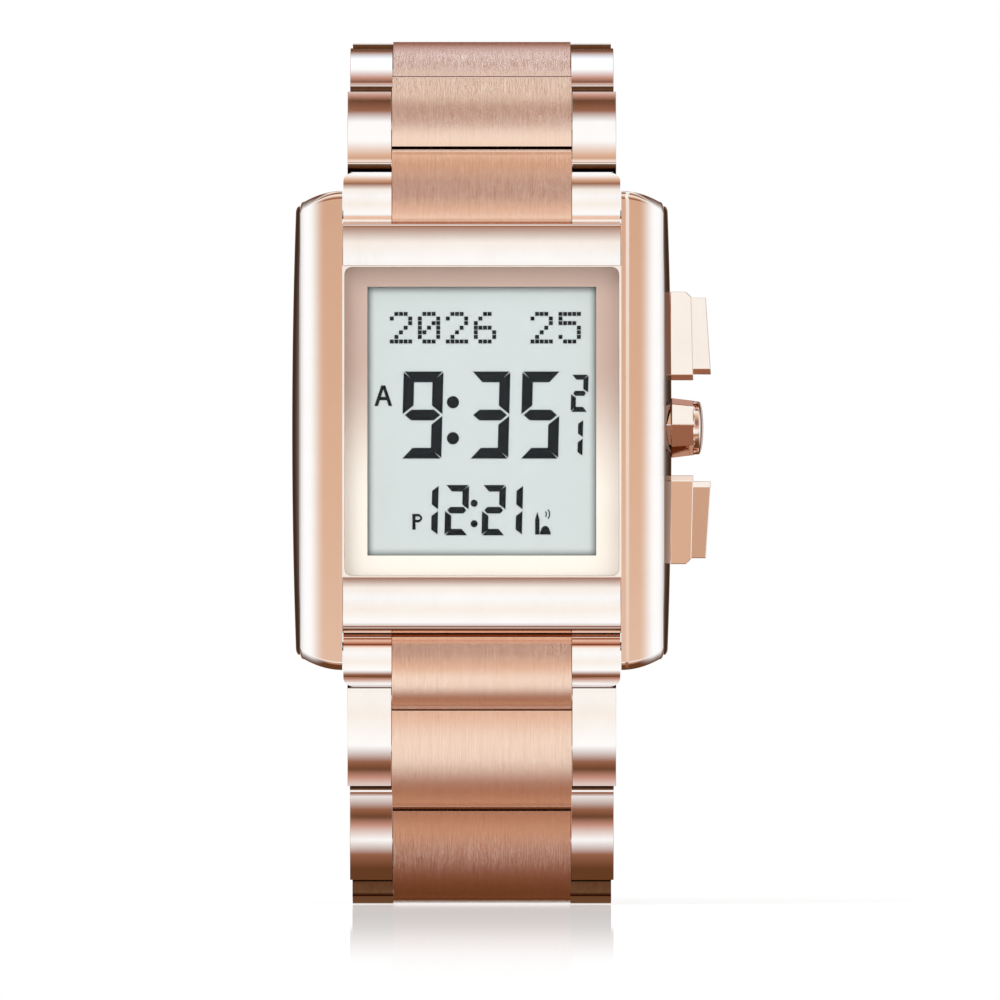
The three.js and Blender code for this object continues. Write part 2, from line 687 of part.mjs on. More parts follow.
function claspCover() {
  const bossInner = centerAt(upperLinks) / 2 + runGap;
  const wall = prism(arcOutline(knuckleReach, coverEnd, wallInner, coverOuter), 'x',
    -claspHalf, claspHalf);
  const skirt = arcOutline(0, coverEnd, -skirtDepth, coverOuter - coverWall / 2);
  const boss = linkOutline(1, -linkRadius, knuckleReach, 0, true, false);
  const barHole = rod('x', -claspHalf - overrun, claspHalf + overrun, 0, 0, linkPin + boreGap);
  const foldHole = rod('x', -claspHalf - overrun, claspHalf + overrun, ...foldPlace,
    foldPin + boreGap);
  const sides = [-1, 1].flatMap((side) => {
    const x = [side * (claspHalf - coverSkirt), side * claspHalf].sort((a, b) => a - b);
    const bossX = [side * bossInner, side * claspHalf].sort((a, b) => a - b);
    return [prism(skirt, 'x', ...x), prism(boss, 'x', ...bossX)];
  });
  const notch = prism(arcOutline(buttonAlong - buttonHalfLength - runGap,
    buttonAlong + buttonHalfLength + runGap, -skirtDepth - overrun,
    claspButtonHeight - skirtDepth + runGap), 'x', -claspHalf - overrun, claspHalf + overrun);
  const notches = cut(notch, prism(arcOutline(0, coverLength, -skirtDepth - 2 * overrun,
    coverOuter), 'x', -claspHalf + coverSkirt, claspHalf - coverSkirt));
  return cut(join(wall, ...sides), barHole, foldHole, notches);
}

function middleBlade() {
  const body = prism(arcOutline(innerFoldStart, coverLength, middleInner, middleOuter), 'x',
    -bladeHalf, bladeHalf);
  const slotLength = (coverLength - innerFoldStart) * bladeSlotShare;
  const middle = (coverLength + innerFoldStart) / 2;
  const slot = prism(arcOutline(middle - slotLength / 2, middle + slotLength / 2,
    middleInner - overrun, middleOuter + overrun), 'x', -bladeSlotWidth / 2, bladeSlotWidth / 2);
  const outerBarrel = rod('x', -bladeHalf, bladeHalf, ...foldPlace, foldBarrel);
  const trunnion = rod('x', -claspHalf + slipGap, claspHalf - slipGap, ...foldPlace, foldPin);
  const knuckle = bladeHalf - earThickness - runGap;
  const relief = rod('x', -knuckle, knuckle, ...innerFoldPlace, innerBarrel + 2 * runGap);
  const ears = [[-bladeHalf, -bladeHalf + earThickness], [bladeHalf - earThickness, bladeHalf]]
    .map(([from, to]) => rod('x', from, to, ...innerFoldPlace, innerBarrel));
  const innerPin = rod('x', -bladeHalf + overrun, bladeHalf - overrun, ...innerFoldPlace, foldPin);
  return join(cut(body, slot, relief), outerBarrel, trunnion, ...ears, innerPin);
}

function bottomBlade() {
  const knuckle = bladeHalf - earThickness - runGap;
  const plateEnd = openPivot - knuckleReach - runGap;
  const body = prism(arcOutline(innerFoldStart, plateEnd, bottomInner, bottomOuter), 'x',
    -bladeHalf, bladeHalf);
  const cornerCuts = [-1, 1].map((side) => {
    const x = [side * (knuckle + slipGap / 2), side * (bladeHalf + overrun)].sort((a, b) => a - b);
    return rod('x', ...x, ...innerFoldPlace, innerBarrel + 2 * runGap);
  });
  const barrel = rod('x', -knuckle, knuckle, ...innerFoldPlace, innerBarrel);
  const pinHole = rod('x', -bladeHalf - overrun, bladeHalf + overrun, ...innerFoldPlace,
    foldPin + 2 * runGap);
  const earOutline = arcOutline(plateEnd - linkRadius, openPivot, bottomInner, bottomOuter);
  const ears = [-1, 1].flatMap((side) => {
    const x = [side * (bladeHalf - earThickness + runGap), side * bladeHalf].sort((a, b) => a - b);
    return [prism(earOutline, 'x', ...x),
      rod('x', ...x, ...openPivotPlace, linkThickness - 2 * runGap)];
  });
  const pivotHole = rod('x', -bladeHalf - overrun, bladeHalf + overrun, ...openPivotPlace,
    linkPin + boreGap);
  return cut(join(cut(body, ...cornerCuts), barrel, ...ears), pinHole, pivotHole);
}

// A push button in the notch of one skirt; side is 1 on the crown side.
function claspButton(side) {
  const outer = claspHalf + claspButtonProud;
  const inner = claspHalf - coverSkirt;
  const x = [side * inner, side * outer].sort((a, b) => a - b);
  return prism(arcOutline(buttonAlong - buttonHalfLength, buttonAlong + buttonHalfLength,
    -skirtDepth, claspButtonHeight - skirtDepth), 'x', ...x);
}

function claspBar() {
  return rod('x', -claspHalf + slipGap, claspHalf - slipGap, 0, 0, linkPin);
}

// Places of the hinge pins of one half, [y, z], for given angles.
function hingePlaces(run, leans) {
  const places = [[barDepth, run * barHeight]];
  leans.forEach((lean, i) => {
    const length = i === 0 ? endPitch : linkPitch;
    const [y, z] = places[i];
    places.push([y + length * Math.sin(lean * degrees),
      z + run * length * Math.cos(lean * degrees)]);
  });
  return places;
}

// Bends every link of a half by the same turn, one value for each half, until the clasp
// reaches from the upper half's last pin to the lower half's.
function closeRing() {
  const turned = (leans, turn) => leans.map((lean, i) => lean + turn * i);
  const miss = ([up, down]) => {
    const upper = hingePlaces(1, turned(upperLeans, up)).pop();
    const lower = hingePlaces(-1, turned(lowerLeans, down)).pop();
    const [across, along] = openPivotPlace;
    const lean = claspLean * degrees;
    return [upper[0] + along * Math.sin(lean) + across * Math.cos(lean) - lower[0],
      upper[1] + along * Math.cos(lean) - across * Math.sin(lean) - lower[1]];
  };
  const turns = [0, 0];
  const nudge = 1e-4;
  for (let round = 0; round < 20; round += 1) {
    const here = miss(turns);
    const byUp = miss([turns[0] + nudge, turns[1]]).map((v, i) => (v - here[i]) / nudge);
    const byDown = miss([turns[0], turns[1] + nudge]).map((v, i) => (v - here[i]) / nudge);
    const det = byUp[0] * byDown[1] - byDown[0] * byUp[1];
    turns[0] -= (here[0] * byDown[1] - byDown[0] * here[1]) / det;
    turns[1] -= (byUp[0] * here[1] - here[0] * byUp[1]) / det;
  }
  return { upper: turned(upperLeans, turns[0]), lower: turned(lowerLeans, turns[1]) };
}

const ring = closeRing();

// One half of the bracelet as nested groups, each with its hinge pin at its origin.
function braceletHalf(parent, run, word, leans, count) {
  let group = new THREE.Group();
  group.position.set(0, barDepth, run * barHeight);
  group.rotation.x = -run * leans[0] * degrees;
  parent.add(group);
  addPiece(group, `${word}_end_link`, endLink(run), polished);
  for (let link = 1; link <= count; link += 1) {
    const next = new THREE.Group();
    next.position.z = run * (link === 1 ? endPitch : linkPitch);
    next.rotation.x = -run * (leans[link] - leans[link - 1]) * degrees;
    group.add(next);
    addPiece(next, `${word}_link_${link}_sides`, linkSides(run, link), polished);
    addPiece(next, `${word}_link_${link}_center`, linkCenter(run, link), brushed);
    group = next;
  }
  return group;
}

function clasp(lastLink) {
  const group = new THREE.Group();
  group.position.z = linkPitch;
  group.rotation.x = -(claspLean - ring.upper[upperLinks]) * degrees;
  lastLink.add(group);
  addPiece(group, 'clasp_cover', claspCover(), brushed);
  addPiece(group, 'clasp_end_bar', claspBar(), steel);
  addPiece(group, 'clasp_middle_blade', middleBlade(), steel);
  addPiece(group, 'clasp_bottom_blade', bottomBlade(), steel);
  addPiece(group, 'clasp_button_right', claspButton(1), polished);
  addPiece(group, 'clasp_button_left', claspButton(-1), polished);
}

// Assembly
const watch = new THREE.Group();
watch.name = 'wristwatch';
const head = new THREE.Group();
watch.add(head);
addPiece(head, 'mid_case', midCase(), polished);
addPiece(head, 'crystal', crystal(), glass);
addPiece(head, 'display_mask', displayMask(), mirror);
addPiece(head, 'crystal_gasket', crystalGasket(), rubber);
addPiece(head, 'lcd_panel', lcdPanel(), lcdGlass);
addPiece(head, 'lcd_reflector', lcdReflector(), white);
addPiece(head, 'lower_contact_strip', contactStrip(contactPlaces[0]), rubber);
addPiece(head, 'upper_contact_strip', contactStrip(contactPlaces[1]), rubber);
addPiece(head, 'module_frame', moduleFrame(), plastic);
addPiece(head, 'circuit_board', circuitBoard(), board);
addPiece(head, 'battery', battery(), steel);
addPiece(head, 'battery_clip', batteryClip(), steel);
addPiece(head, 'sounder_disc', sounderDisc(), brass);
addPiece(head, 'back_gasket', backGasket(), rubber);
addPiece(head, 'case_back', caseBack(), steel);
screwPlaces.forEach((place, i) => addPiece(head, `back_screw_${i + 1}`, backScrew(place), steel));
addPiece(head, 'upper_spring_bar', springBar(barHeight), steel);
addPiece(head, 'lower_spring_bar', springBar(-barHeight), steel);
addPiece(head, 'upper_pusher_guard', pusherGuard(1), polished);
addPiece(head, 'lower_pusher_guard', pusherGuard(-1), polished);
addPiece(head, 'upper_pusher', pusher(1), polished);
addPiece(head, 'lower_pusher', pusher(-1), polished);
addPiece(head, 'crown_button', crownButton(), polished);
clasp(braceletHalf(head, 1, 'upper', ring.upper, upperLinks));
braceletHalf(head, -1, 'lower', ring.lower, lowerLinks);

// The origin is the middle of the watch's footprint, on the surface that it stands on.
watch.updateMatrixWorld(true);
const bounds = new THREE.Box3().setFromObject(watch, true);
const middle = bounds.getCenter(new THREE.Vector3());
head.position.set(-middle.x, -middle.y, -bounds.min.z);

export default watch;
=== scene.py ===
# Digital prayer-time wristwatch on a rose-gold link bracelet, closed to a ring and standing
# on its lower links. Shapes are written in millimetres in the frame of the case or of a hinge.
import json
import math

import bmesh
import bpy
from mathutils import Matrix, Vector

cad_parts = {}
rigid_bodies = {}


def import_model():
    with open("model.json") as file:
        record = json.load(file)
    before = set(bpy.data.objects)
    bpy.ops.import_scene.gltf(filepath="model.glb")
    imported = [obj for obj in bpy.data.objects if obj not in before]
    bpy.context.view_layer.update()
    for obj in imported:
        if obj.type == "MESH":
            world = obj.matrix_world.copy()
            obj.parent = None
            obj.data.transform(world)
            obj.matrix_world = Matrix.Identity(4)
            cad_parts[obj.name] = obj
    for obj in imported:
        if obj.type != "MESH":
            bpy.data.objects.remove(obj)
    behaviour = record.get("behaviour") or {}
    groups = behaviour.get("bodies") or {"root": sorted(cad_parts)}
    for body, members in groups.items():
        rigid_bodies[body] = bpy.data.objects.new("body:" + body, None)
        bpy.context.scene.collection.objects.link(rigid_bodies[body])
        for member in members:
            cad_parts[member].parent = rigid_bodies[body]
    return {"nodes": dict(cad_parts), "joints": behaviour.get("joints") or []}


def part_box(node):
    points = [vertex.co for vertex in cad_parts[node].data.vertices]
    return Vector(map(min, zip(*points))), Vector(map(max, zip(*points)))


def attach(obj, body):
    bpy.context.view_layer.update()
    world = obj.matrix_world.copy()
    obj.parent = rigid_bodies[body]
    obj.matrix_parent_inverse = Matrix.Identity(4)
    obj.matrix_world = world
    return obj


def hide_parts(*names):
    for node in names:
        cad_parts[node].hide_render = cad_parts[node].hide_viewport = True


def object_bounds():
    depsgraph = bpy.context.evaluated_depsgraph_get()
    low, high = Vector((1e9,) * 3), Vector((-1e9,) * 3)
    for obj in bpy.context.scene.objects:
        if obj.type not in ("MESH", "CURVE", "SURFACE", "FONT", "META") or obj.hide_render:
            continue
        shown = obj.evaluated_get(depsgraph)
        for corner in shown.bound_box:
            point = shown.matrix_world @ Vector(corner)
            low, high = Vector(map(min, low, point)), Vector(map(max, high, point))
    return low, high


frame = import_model()
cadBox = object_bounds()
mm = 0.001
overrun = 1.0  # how far a cutter runs past what it cuts
joints = {joint["child"]: joint for joint in frame["joints"]}
print("frame loaded:", len(frame["nodes"]), "nodes")

watch = {
    "wingCrest": -5.5, "wingBrow": -3.4, "wingInner": 13.05, "wingOuter": 17.0,
    "tip": 22.4, "shoulder": 21.4, "corner": 20.7, "shoulderX": 16.6,
    "flankFront": -2.9, "flankBack": 3.6, "flankEnd": 17.4, "flankSwell": 0.35,
    "flankChamfer": 0.5, "chamferDepth": 1.1, "bodyInset": 0.4, "sunk": 0.4,
    "topEdge": 19.4, "bottomEdge": -18.4, "crystalTop": 15.4, "crystalBottom": -13.7,
    "barHeight": 20.2, "barDepth": -0.6, "barRoom": 1.7,
}
seam = {"middle": 0.5, "reach": 18.95, "fade": 0.12, "sideFade": 0.1, "rimEnd": 0.05}  # where the case's painted shade lies
caseLow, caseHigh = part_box("mid_case")
caseFrame = Matrix.Translation((
    (caseLow.x + caseHigh.x) / 2, caseLow.y - watch["wingCrest"] * mm,
    (caseLow.z + caseHigh.z) / 2))
caseMiddle = caseFrame.translation / mm  # in millimetres, like the shaders' points


class Signal:
    def __init__(self, shader, socket):
        self.shader, self.socket = shader, socket

    def maths(self, operation, first, second=0.0):
        return self.shader.node("ShaderNodeMath", {"operation": operation}, {0: first, 1: second})

    def __add__(self, other):
        return self.maths("ADD", self, other)

    def __radd__(self, other):
        return self.maths("ADD", other, self)

    def __sub__(self, other):
        return self.maths("SUBTRACT", self, other)

    def __rsub__(self, other):
        return self.maths("SUBTRACT", other, self)

    def __mul__(self, other):
        return self.maths("MULTIPLY", self, other)

    def __rmul__(self, other):
        return self.maths("MULTIPLY", other, self)

    def __truediv__(self, other):
        return self.maths("DIVIDE", self, other)

    def __rtruediv__(self, other):
        return self.maths("DIVIDE", other, self)

    def __abs__(self):
        return self.maths("ABSOLUTE", self)

    def atLeast(self, other):
        return self.maths("MAXIMUM", self, other)

    def above(self, other):  # 1 where it is above the other value, otherwise 0
        return self.maths("GREATER_THAN", self, other)

    def angle(self, across):  # from the across value's direction, in radians
        return self.maths("ARCTAN2", self, across)

    def ramp(self, low, high):  # 0 at low, 1 at high, eased
        return self.shader.node("ShaderNodeMapRange", {"interpolation_type": "SMOOTHSTEP"},
                                {0: self, 1: low, 2: high, 3: 0.0, 4: 1.0})


class Shader:
    def __init__(self, tree):
        self.tree = tree
        tree.nodes.clear()

    def node(self, kind, settings=None, links=None, output=0):
        made = self.tree.nodes.new(kind)
        for name, value in (settings or {}).items():
            if name == "stops":
                self.fillRamp(made.color_ramp, value)
            else:
                setattr(made, name, value)
        for name, value in (links or {}).items():
            if isinstance(value, Signal):
                self.tree.links.new(value.socket, made.inputs[name])
            elif isinstance(value, tuple) and made.inputs[name].type == "RGBA":
                made.inputs[name].default_value = (*value[:3], 1.0)
            else:
                made.inputs[name].default_value = value
        return Signal(self, made.outputs[output]) if made.outputs else None

    def fillRamp(self, ramp, stops):
        while len(ramp.elements) < len(stops):
            ramp.elements.new(0.5)
        for element, (place, colour) in zip(ramp.elements, stops):
            element.position = place
            element.color = (*colour, 1.0)

    def place(self):  # a point of the piece, in millimetres
        spot = self.node("ShaderNodeTexCoord", output=3)
        return self.node("ShaderNodeVectorMath", {"operation": "SCALE"}, {0: spot, "Scale": 1 / mm})

    def stretched(self, scale):
        return self.node("ShaderNodeVectorMath", {"operation": "MULTIPLY"},
                         {0: self.place(), 1: scale})

    def length(self, vector):
        return self.node("ShaderNodeVectorMath", {"operation": "LENGTH"}, {0: vector}, output=1)

    def noise(self, scale, detail=3.0, roughness=0.5):
        return self.node("ShaderNodeTexNoise", {}, {
            "Vector": self.stretched(scale), "Scale": 1.0, "Detail": detail,
            "Roughness": roughness})

    def axis(self, name):
        return self.node("ShaderNodeSeparateXYZ", {}, {0: self.place()}, output="XYZ".index(name))

    def blend(self, factor, first, second):
        return self.node("ShaderNodeMix", {"data_type": "RGBA"},
                         {0: factor, 6: first, 7: second}, output=2)

    def bump(self, height, distance, strength=1.0):
        return self.node("ShaderNodeBump", {}, {
            "Height": height, "Distance": distance * mm, "Strength": strength})

    def surface(self, **sockets):
        names = {"color": "Base Color", "roughness": "Roughness", "metallic": "Metallic",
                 "normal": "Normal", "alpha": "Alpha", "ior": "IOR"}
        body = self.node("ShaderNodeBsdfPrincipled", {},
                         {names[key]: value for key, value in sockets.items()})
        self.node("ShaderNodeOutputMaterial", {}, {"Surface": body})


def newMaterial(name):
    made = bpy.data.materials.new(name)
    made.use_nodes = True
    return made, Shader(made.node_tree)


# Finishes
roseGold = {"bright": (0.90, 0.60, 0.46), "deep": (0.86, 0.56, 0.42), "satin": (0.82, 0.54, 0.41),
            "brushedDark": (0.84, 0.45, 0.29), "brushedLight": (0.90, 0.51, 0.35)}
# seam and joint are painted shade; rim darkens the front chamfer of the flanks
darkTones = {"seam": (0.10, 0.05, 0.03), "rim": (0.22, 0.12, 0.08),
        "joint": [(0.17, 0.062, 0.026), (0.12, 0.04, 0.015)]}


def makePolishedRose():
    made, shader = newMaterial("polishedRoseSteel")
    smudge = shader.noise((0.35, 0.35, 0.35))
    wipe = shader.noise((5.0, 1.1, 1.4), 2.0)
    shader.surface(color=shader.blend(smudge, roseGold["bright"], roseGold["deep"]),
                   metallic=1.0, roughness=0.05 + 0.07 * smudge * wipe,
                   normal=shader.bump(wipe, 0.0012, 0.3))
    return made


def makeCaseRose():  # painted shade darkens the recesses at both ends of the case, and the flanks' front chamfer is darker
    made, shader = newMaterial("caseRoseSteel")
    smudge = shader.noise((0.35, 0.35, 0.35))
    height = abs(shader.axis("Z") - caseMiddle.z - seam["middle"])
    across = abs(shader.axis("X") - caseMiddle.x)
    fade, inner, outer = seam["sideFade"], watch["wingInner"], watch["wingOuter"]
    # painted shade: the recesses at both ends of the case, where the bracelet meets it, are darkened
    recessShade = (height.ramp(seam["reach"], seam["reach"] + seam["fade"])
              * (1.0 - across.ramp(inner - fade, inner)))
    depth = shader.axis("Y") - caseMiddle.y
    chamferEnd = watch["flankFront"] + watch["chamferDepth"]
    front = 1.0 - depth.ramp(chamferEnd - fade, chamferEnd + seam["rimEnd"])
    # darker along the front chamfer of the flanks
    rim = across.ramp(outer, outer + fade) * front
    clean = shader.blend(smudge, roseGold["bright"], roseGold["deep"])
    rimmed = shader.blend(rim, clean, darkTones["rim"])
    shader.surface(color=shader.blend(recessShade, rimmed, darkTones["seam"]), metallic=1.0,
                   roughness=0.06 + 0.05 * smudge + 0.3 * recessShade)
    return made


def makeBrushedRose():  # fine grooves along the bracelet
    made, shader = newMaterial("brushedRoseSteel")
    groove = shader.noise((26.0, 0.25, 0.25), 3.0, 0.6)
    streak = shader.noise((13.0, 0.1, 0.1), 3.0, 0.7)
    shade = (0.5 * groove + 0.5 * streak).ramp(0.25, 0.75)
    shader.surface(color=shader.blend(shade, roseGold["brushedDark"], roseGold["brushedLight"]),
                   metallic=1.0, roughness=0.13 + 0.06 * groove,
                   normal=shader.bump(groove, 0.02, 0.5))
    return made


claspBand = (7.85, 7.95)  # half width where its polished sides start
brassEdge = (3.9, 4.0)  # radius where the sounder's ceramic ends


def makeClaspRose():  # brushed in the middle, polished along both sides like the links
    made, shader = newMaterial("claspRoseSteel")
    grain = shader.noise((16.0, 0.5, 0.5), 4.0, 0.65)
    across = abs(shader.axis("X") - caseMiddle.x)
    band = across.ramp(*claspBand)
    smudge = shader.noise((0.4, 0.4, 0.4))
    shade = shader.blend(band * 0.7 + grain * 0.3, roseGold["satin"], roseGold["bright"])
    shader.surface(color=shade, metallic=1.0,
                   roughness=(1.0 - band) * (0.24 + 0.14 * grain) + band * (0.06 + 0.06 * smudge),
                   normal=shader.bump(grain * (1.0 - band), 0.006, 0.5))
    return made


def makeJointShade():  # painted shade in the gaps of the bracelet's joints
    made, shader = newMaterial("jointShadeSteel")
    mottle = shader.noise((2.0, 2.0, 2.0))
    shader.surface(color=shader.blend(mottle, *darkTones["joint"]), metallic=1.0,
                   roughness=0.2 + 0.12 * mottle)
    return made


def makePlainSteel():
    made, shader = newMaterial("plainSteel")
    grain = shader.noise((1.2, 1.2, 22.0), 4.0, 0.6)
    smudge = shader.noise((0.3, 0.3, 0.3))
    shade = shader.blend(grain, (0.60, 0.59, 0.57), (0.74, 0.73, 0.71))
    shader.surface(color=shade, metallic=1.0, roughness=0.2 + 0.15 * grain + 0.08 * smudge,
                   normal=shader.bump(grain, 0.005, 0.5))
    return made


def makeCellSteel():
    made, shader = newMaterial("cellSteel")
    rings = shader.noise((0.5, 9.0, 0.5), 3.0)
    shader.surface(color=shader.blend(rings, (0.66, 0.66, 0.66), (0.78, 0.78, 0.77)), metallic=1.0,
                   roughness=0.22 + 0.14 * rings, normal=shader.bump(rings, 0.004, 0.4))
    return made


def makeCrystal():
    made, shader = newMaterial("crystalGlass")
    smudge = shader.noise((0.25, 0.25, 0.25))
    shader.surface(color=(0.2, 0.22, 0.22), roughness=0.01 + 0.03 * smudge,
                   alpha=0.03 + 0.02 * smudge, ior=1.5)
    made.surface_render_method = "BLENDED"
    return made


def makeMirrorFrame():  # metallised, with a painted reflection that makes it darker towards its top
    made, shader = newMaterial("mirrorFrame")
    height = shader.axis("Z") - caseMiddle.z
    speck = shader.noise((6.0, 6.0, 6.0), 2.0)
    # painted reflection: cream at the bottom, mauve-brown towards the top
    shade = shader.blend(height.ramp(-6.5, 6.5), (0.99, 0.92, 0.82), (0.62, 0.45, 0.37))
    shader.surface(color=shader.blend(speck * 0.05, shade, (0.8, 0.6, 0.5)),
                   roughness=0.3 + 0.05 * speck, ior=1.12)
    return made


lcdWindow = {"half": 10.7, "top": 13.45, "bottom": -11.7, "shade": (-0.3, 0.8)}


def makeLcdGlass():  # the frame's shade falls on its edges
    made, shader = newMaterial("lcdGlass")
    side = lcdWindow["half"] - abs(shader.axis("X") - caseMiddle.x)
    height = shader.axis("Z") - caseMiddle.z
    top = lcdWindow["top"] - height
    bottom = height - lcdWindow["bottom"]
    edge = (side.ramp(*lcdWindow["shade"]) * top.ramp(*lcdWindow["shade"])
            * bottom.ramp(*lcdWindow["shade"]))
    speck = shader.noise((3.0, 3.0, 3.0), 3.0)
    ground = shader.blend(speck * 0.25, (0.635, 0.695, 0.68), (0.61, 0.67, 0.655))
    shader.surface(color=shader.blend(edge, (0.145, 0.16, 0.155), ground),
                   roughness=0.42 + 0.08 * speck, ior=1.12)
    return made


def makeDull(name, dark, light, roughness, scale=4.0, relief=0.01, ior=1.45):
    made, shader = newMaterial(name)
    grain = shader.noise((scale, scale, scale), 4.0)
    shader.surface(color=shader.blend(grain, dark, light), roughness=roughness + 0.12 * grain,
                   normal=shader.bump(grain, relief, 0.5), ior=ior)
    return made


def makeBoard():
    made, shader = newMaterial("boardLaminate")
    weave = shader.noise((5.0, 5.0, 5.0), 3.0)
    cells = shader.node("ShaderNodeTexBrick", {"offset": 0.5}, {
        "Vector": shader.stretched((0.45, 0.45, 0.45)), "Scale": 1.0, "Mortar Size": 0.05,
        "Color1": (0.03, 0.17, 0.09), "Color2": (0.035, 0.20, 0.10), "Mortar": (0.10, 0.34, 0.18)})
    shader.surface(color=shader.blend(weave * 0.3, cells, (0.02, 0.12, 0.06)),
                   roughness=0.35 + 0.15 * weave)
    return made


def makeBrass():
    made, shader = newMaterial("sounderBrass")
    spot = shader.place()
    distance = shader.node("ShaderNodeVectorMath", {"operation": "DISTANCE"}, {
        0: spot, 1: tuple(sounderAt / mm)}, output=1)
    ceramic = 1.0 - distance.ramp(*brassEdge)
    grain = shader.noise((7.0, 7.0, 7.0))
    shader.surface(color=shader.blend(ceramic, (0.76, 0.57, 0.26), (0.80, 0.79, 0.74)),
                   metallic=1.0 - ceramic, roughness=0.28 + 0.2 * ceramic + 0.1 * grain)
    return made


sounderLow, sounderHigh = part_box("sounder_disc")
sounderAt = (sounderLow + sounderHigh) / 2
finishes = {
    "polished": makePolishedRose(), "case": makeCaseRose(), "brushed": makeBrushedRose(),
    # seam: painted shade for the bracelet's joint gaps
    "claspRose": makeClaspRose(), "seam": makeJointShade(),
    "steel": makePlainSteel(), "cell": makeCellSteel(), "crystal": makeCrystal(),
    "mirror": makeMirrorFrame(), "lcd": makeLcdGlass(), "board": makeBoard(),
    "brass": makeBrass(),
    "segment": makeDull("lcdSegments", (0.002, 0.002, 0.003), (0.004, 0.004, 0.005), 0.6,
                        ior=1.02),
    "rubber": makeDull("blackRubber", (0.018, 0.018, 0.019), (0.03, 0.03, 0.031), 0.7, 8.0),
    "plastic": makeDull("modulePlastic", (0.03, 0.031, 0.034), (0.055, 0.056, 0.06), 0.5, 6.0),
    "film": makeDull("reflectorFilm", (0.80, 0.82, 0.81), (0.88, 0.89, 0.88), 0.5, 2.0, 0.003),
}
print("finishes made:", len(finishes))


# Shapes
def hingeFrame(body):  # a link's own frame: its pin at the origin, outer face towards -y
    run = -1 if body.startswith("lower") else 1
    lean, at = 0.0, Vector(joints[body]["pos_m"])
    while body != "case":
        lean -= joints[body]["range_deg"][0]
        body = joints[body]["parent"]
    return Matrix.Translation(at) @ Matrix.Rotation(math.radians(-run * lean), 4, "X"), run


def spread(start, end, steps):  # even steps, with both ends
    return [start + (end - start) * i / steps for i in range(steps + 1)]


def loft(axis, levels):  # levels of (place on the axis, outline in the two other axes)
    shape = bmesh.new()
    spots = {"x": lambda a, u, v: (a, u, v), "y": lambda a, u, v: (u, a, v),
             "z": lambda a, u, v: (u, v, a)}[axis]
    rows = [[shape.verts.new(spots(a, u, v)) for u, v in outline] for a, outline in levels]
    shape.faces.new(rows[0])
    shape.faces.new(rows[-1])
    for low, high in zip(rows, rows[1:]):
        for i in range(len(low)):
            j = (i + 1) % len(low)
            shape.faces.new((low[i], low[j], high[j], high[i]))
    bmesh.ops.recalc_face_normals(shape, faces=shape.faces)
    return shape


def prism(outline, axis, low, high):
    return loft(axis, [(low, outline), (high, outline)])


def reshape(shape, rule):
    for vert in shape.verts:
        vert.co = rule(*vert.co)
    return shape


def newObject(name, shape):  # takes the shape's mesh, and frees the shape
    mesh = bpy.data.meshes.new(name)
    shape.to_mesh(mesh)
    shape.free()
    made = bpy.data.objects.new(name, mesh)
    bpy.context.scene.collection.objects.link(made)
    return made


def merge(*shapes):
    whole = shapes[0]
    for shape in shapes[1:]:
        mesh = bpy.data.meshes.new("part")
        shape.to_mesh(mesh)
        shape.free()
        whole.from_mesh(mesh)
        bpy.data.meshes.remove(mesh)
    return whole


def carve(whole, *cutters):
    base = newObject("carving", whole)
    tools = [newObject("carving", cutter) for cutter in cutters]
    for tool in tools:
        step = base.modifiers.new("cut", "BOOLEAN")
        step.object, step.operation, step.solver = tool, "DIFFERENCE", "EXACT"
    view = bpy.context.evaluated_depsgraph_get()
    result = bmesh.new()
    result.from_object(base, view)
    for made in [base, *tools]:
        mesh = made.data
        bpy.data.objects.remove(made)
        bpy.data.meshes.remove(mesh)
    return result


def ring(u, v, radius, steps=48):
    turns = [2 * math.pi * i / steps for i in range(steps)]
    return [(u + radius * math.cos(turn), v + radius * math.sin(turn)) for turn in turns]


def rounded(points, steps=6):  # points (u, v, radius), each corner rounded by its radius
    path = []
    count = len(points)
    for i, point in enumerate(points):
        here, radius = Vector(point[:2]), (point[2] if len(point) > 2 else 0.0)
        if radius == 0:
            path.append(tuple(here))
            continue
        toBack = (Vector(points[i - 1][:2]) - here).normalized() * radius
        toNext = (Vector(points[(i + 1) % count][:2]) - here).normalized() * radius
        path += [tuple(here + toBack * (1 - t) ** 2 + toNext * t ** 2) for t in spread(0, 1, steps)]
    return path


def bezier(start, control, end, steps=16):
    return [tuple((1 - t) ** 2 * a + 2 * t * (1 - t) * b + t * t * c
                  for a, b, c in zip(start, control, end)) for t in spread(0, 1, steps)]


def plate(left, low, right, high, corner=0.0):
    return rounded([(left, low, corner), (right, low, corner),
                    (right, high, corner), (left, high, corner)])


def darken(shape, run, start, end, limit):  # the faces in a joint's gap take the second finish, a painted shade
    shape.normal_update()
    for face in shape.faces:
        along, facing = run * face.calc_center_median().z, -face.normal.y
        if (along < start and facing < limit) or (along > end and facing < 0.5):
            face.material_index = 1
    return shape


def cylinder(u, v, radius, low, high, steps=24):  # along x
    return prism(ring(u, v, radius, steps), "x", low, high)


def addPiece(name, shape, place, finish, body, bevel=0.0, replaces=(), angle=32):
    made = newObject(name, shape)
    mesh = made.data
    mesh.transform(Matrix.Diagonal((mm, mm, mm, 1.0)))
    mesh.transform(place)
    mesh.materials.append(finishes[finish])
    # the second finish paints shade into the joints' gaps
    if name.endswith(("Sides", "Centre")):
        mesh.materials.append(finishes["seam"])
    mesh.shade_smooth()
    if bevel:
        soften(made, bevel, angle)
    else:
        mesh.set_sharp_from_angle(angle=math.radians(angle))
    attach(made, body)
    if replaces:
        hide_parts(*replaces)
    return made


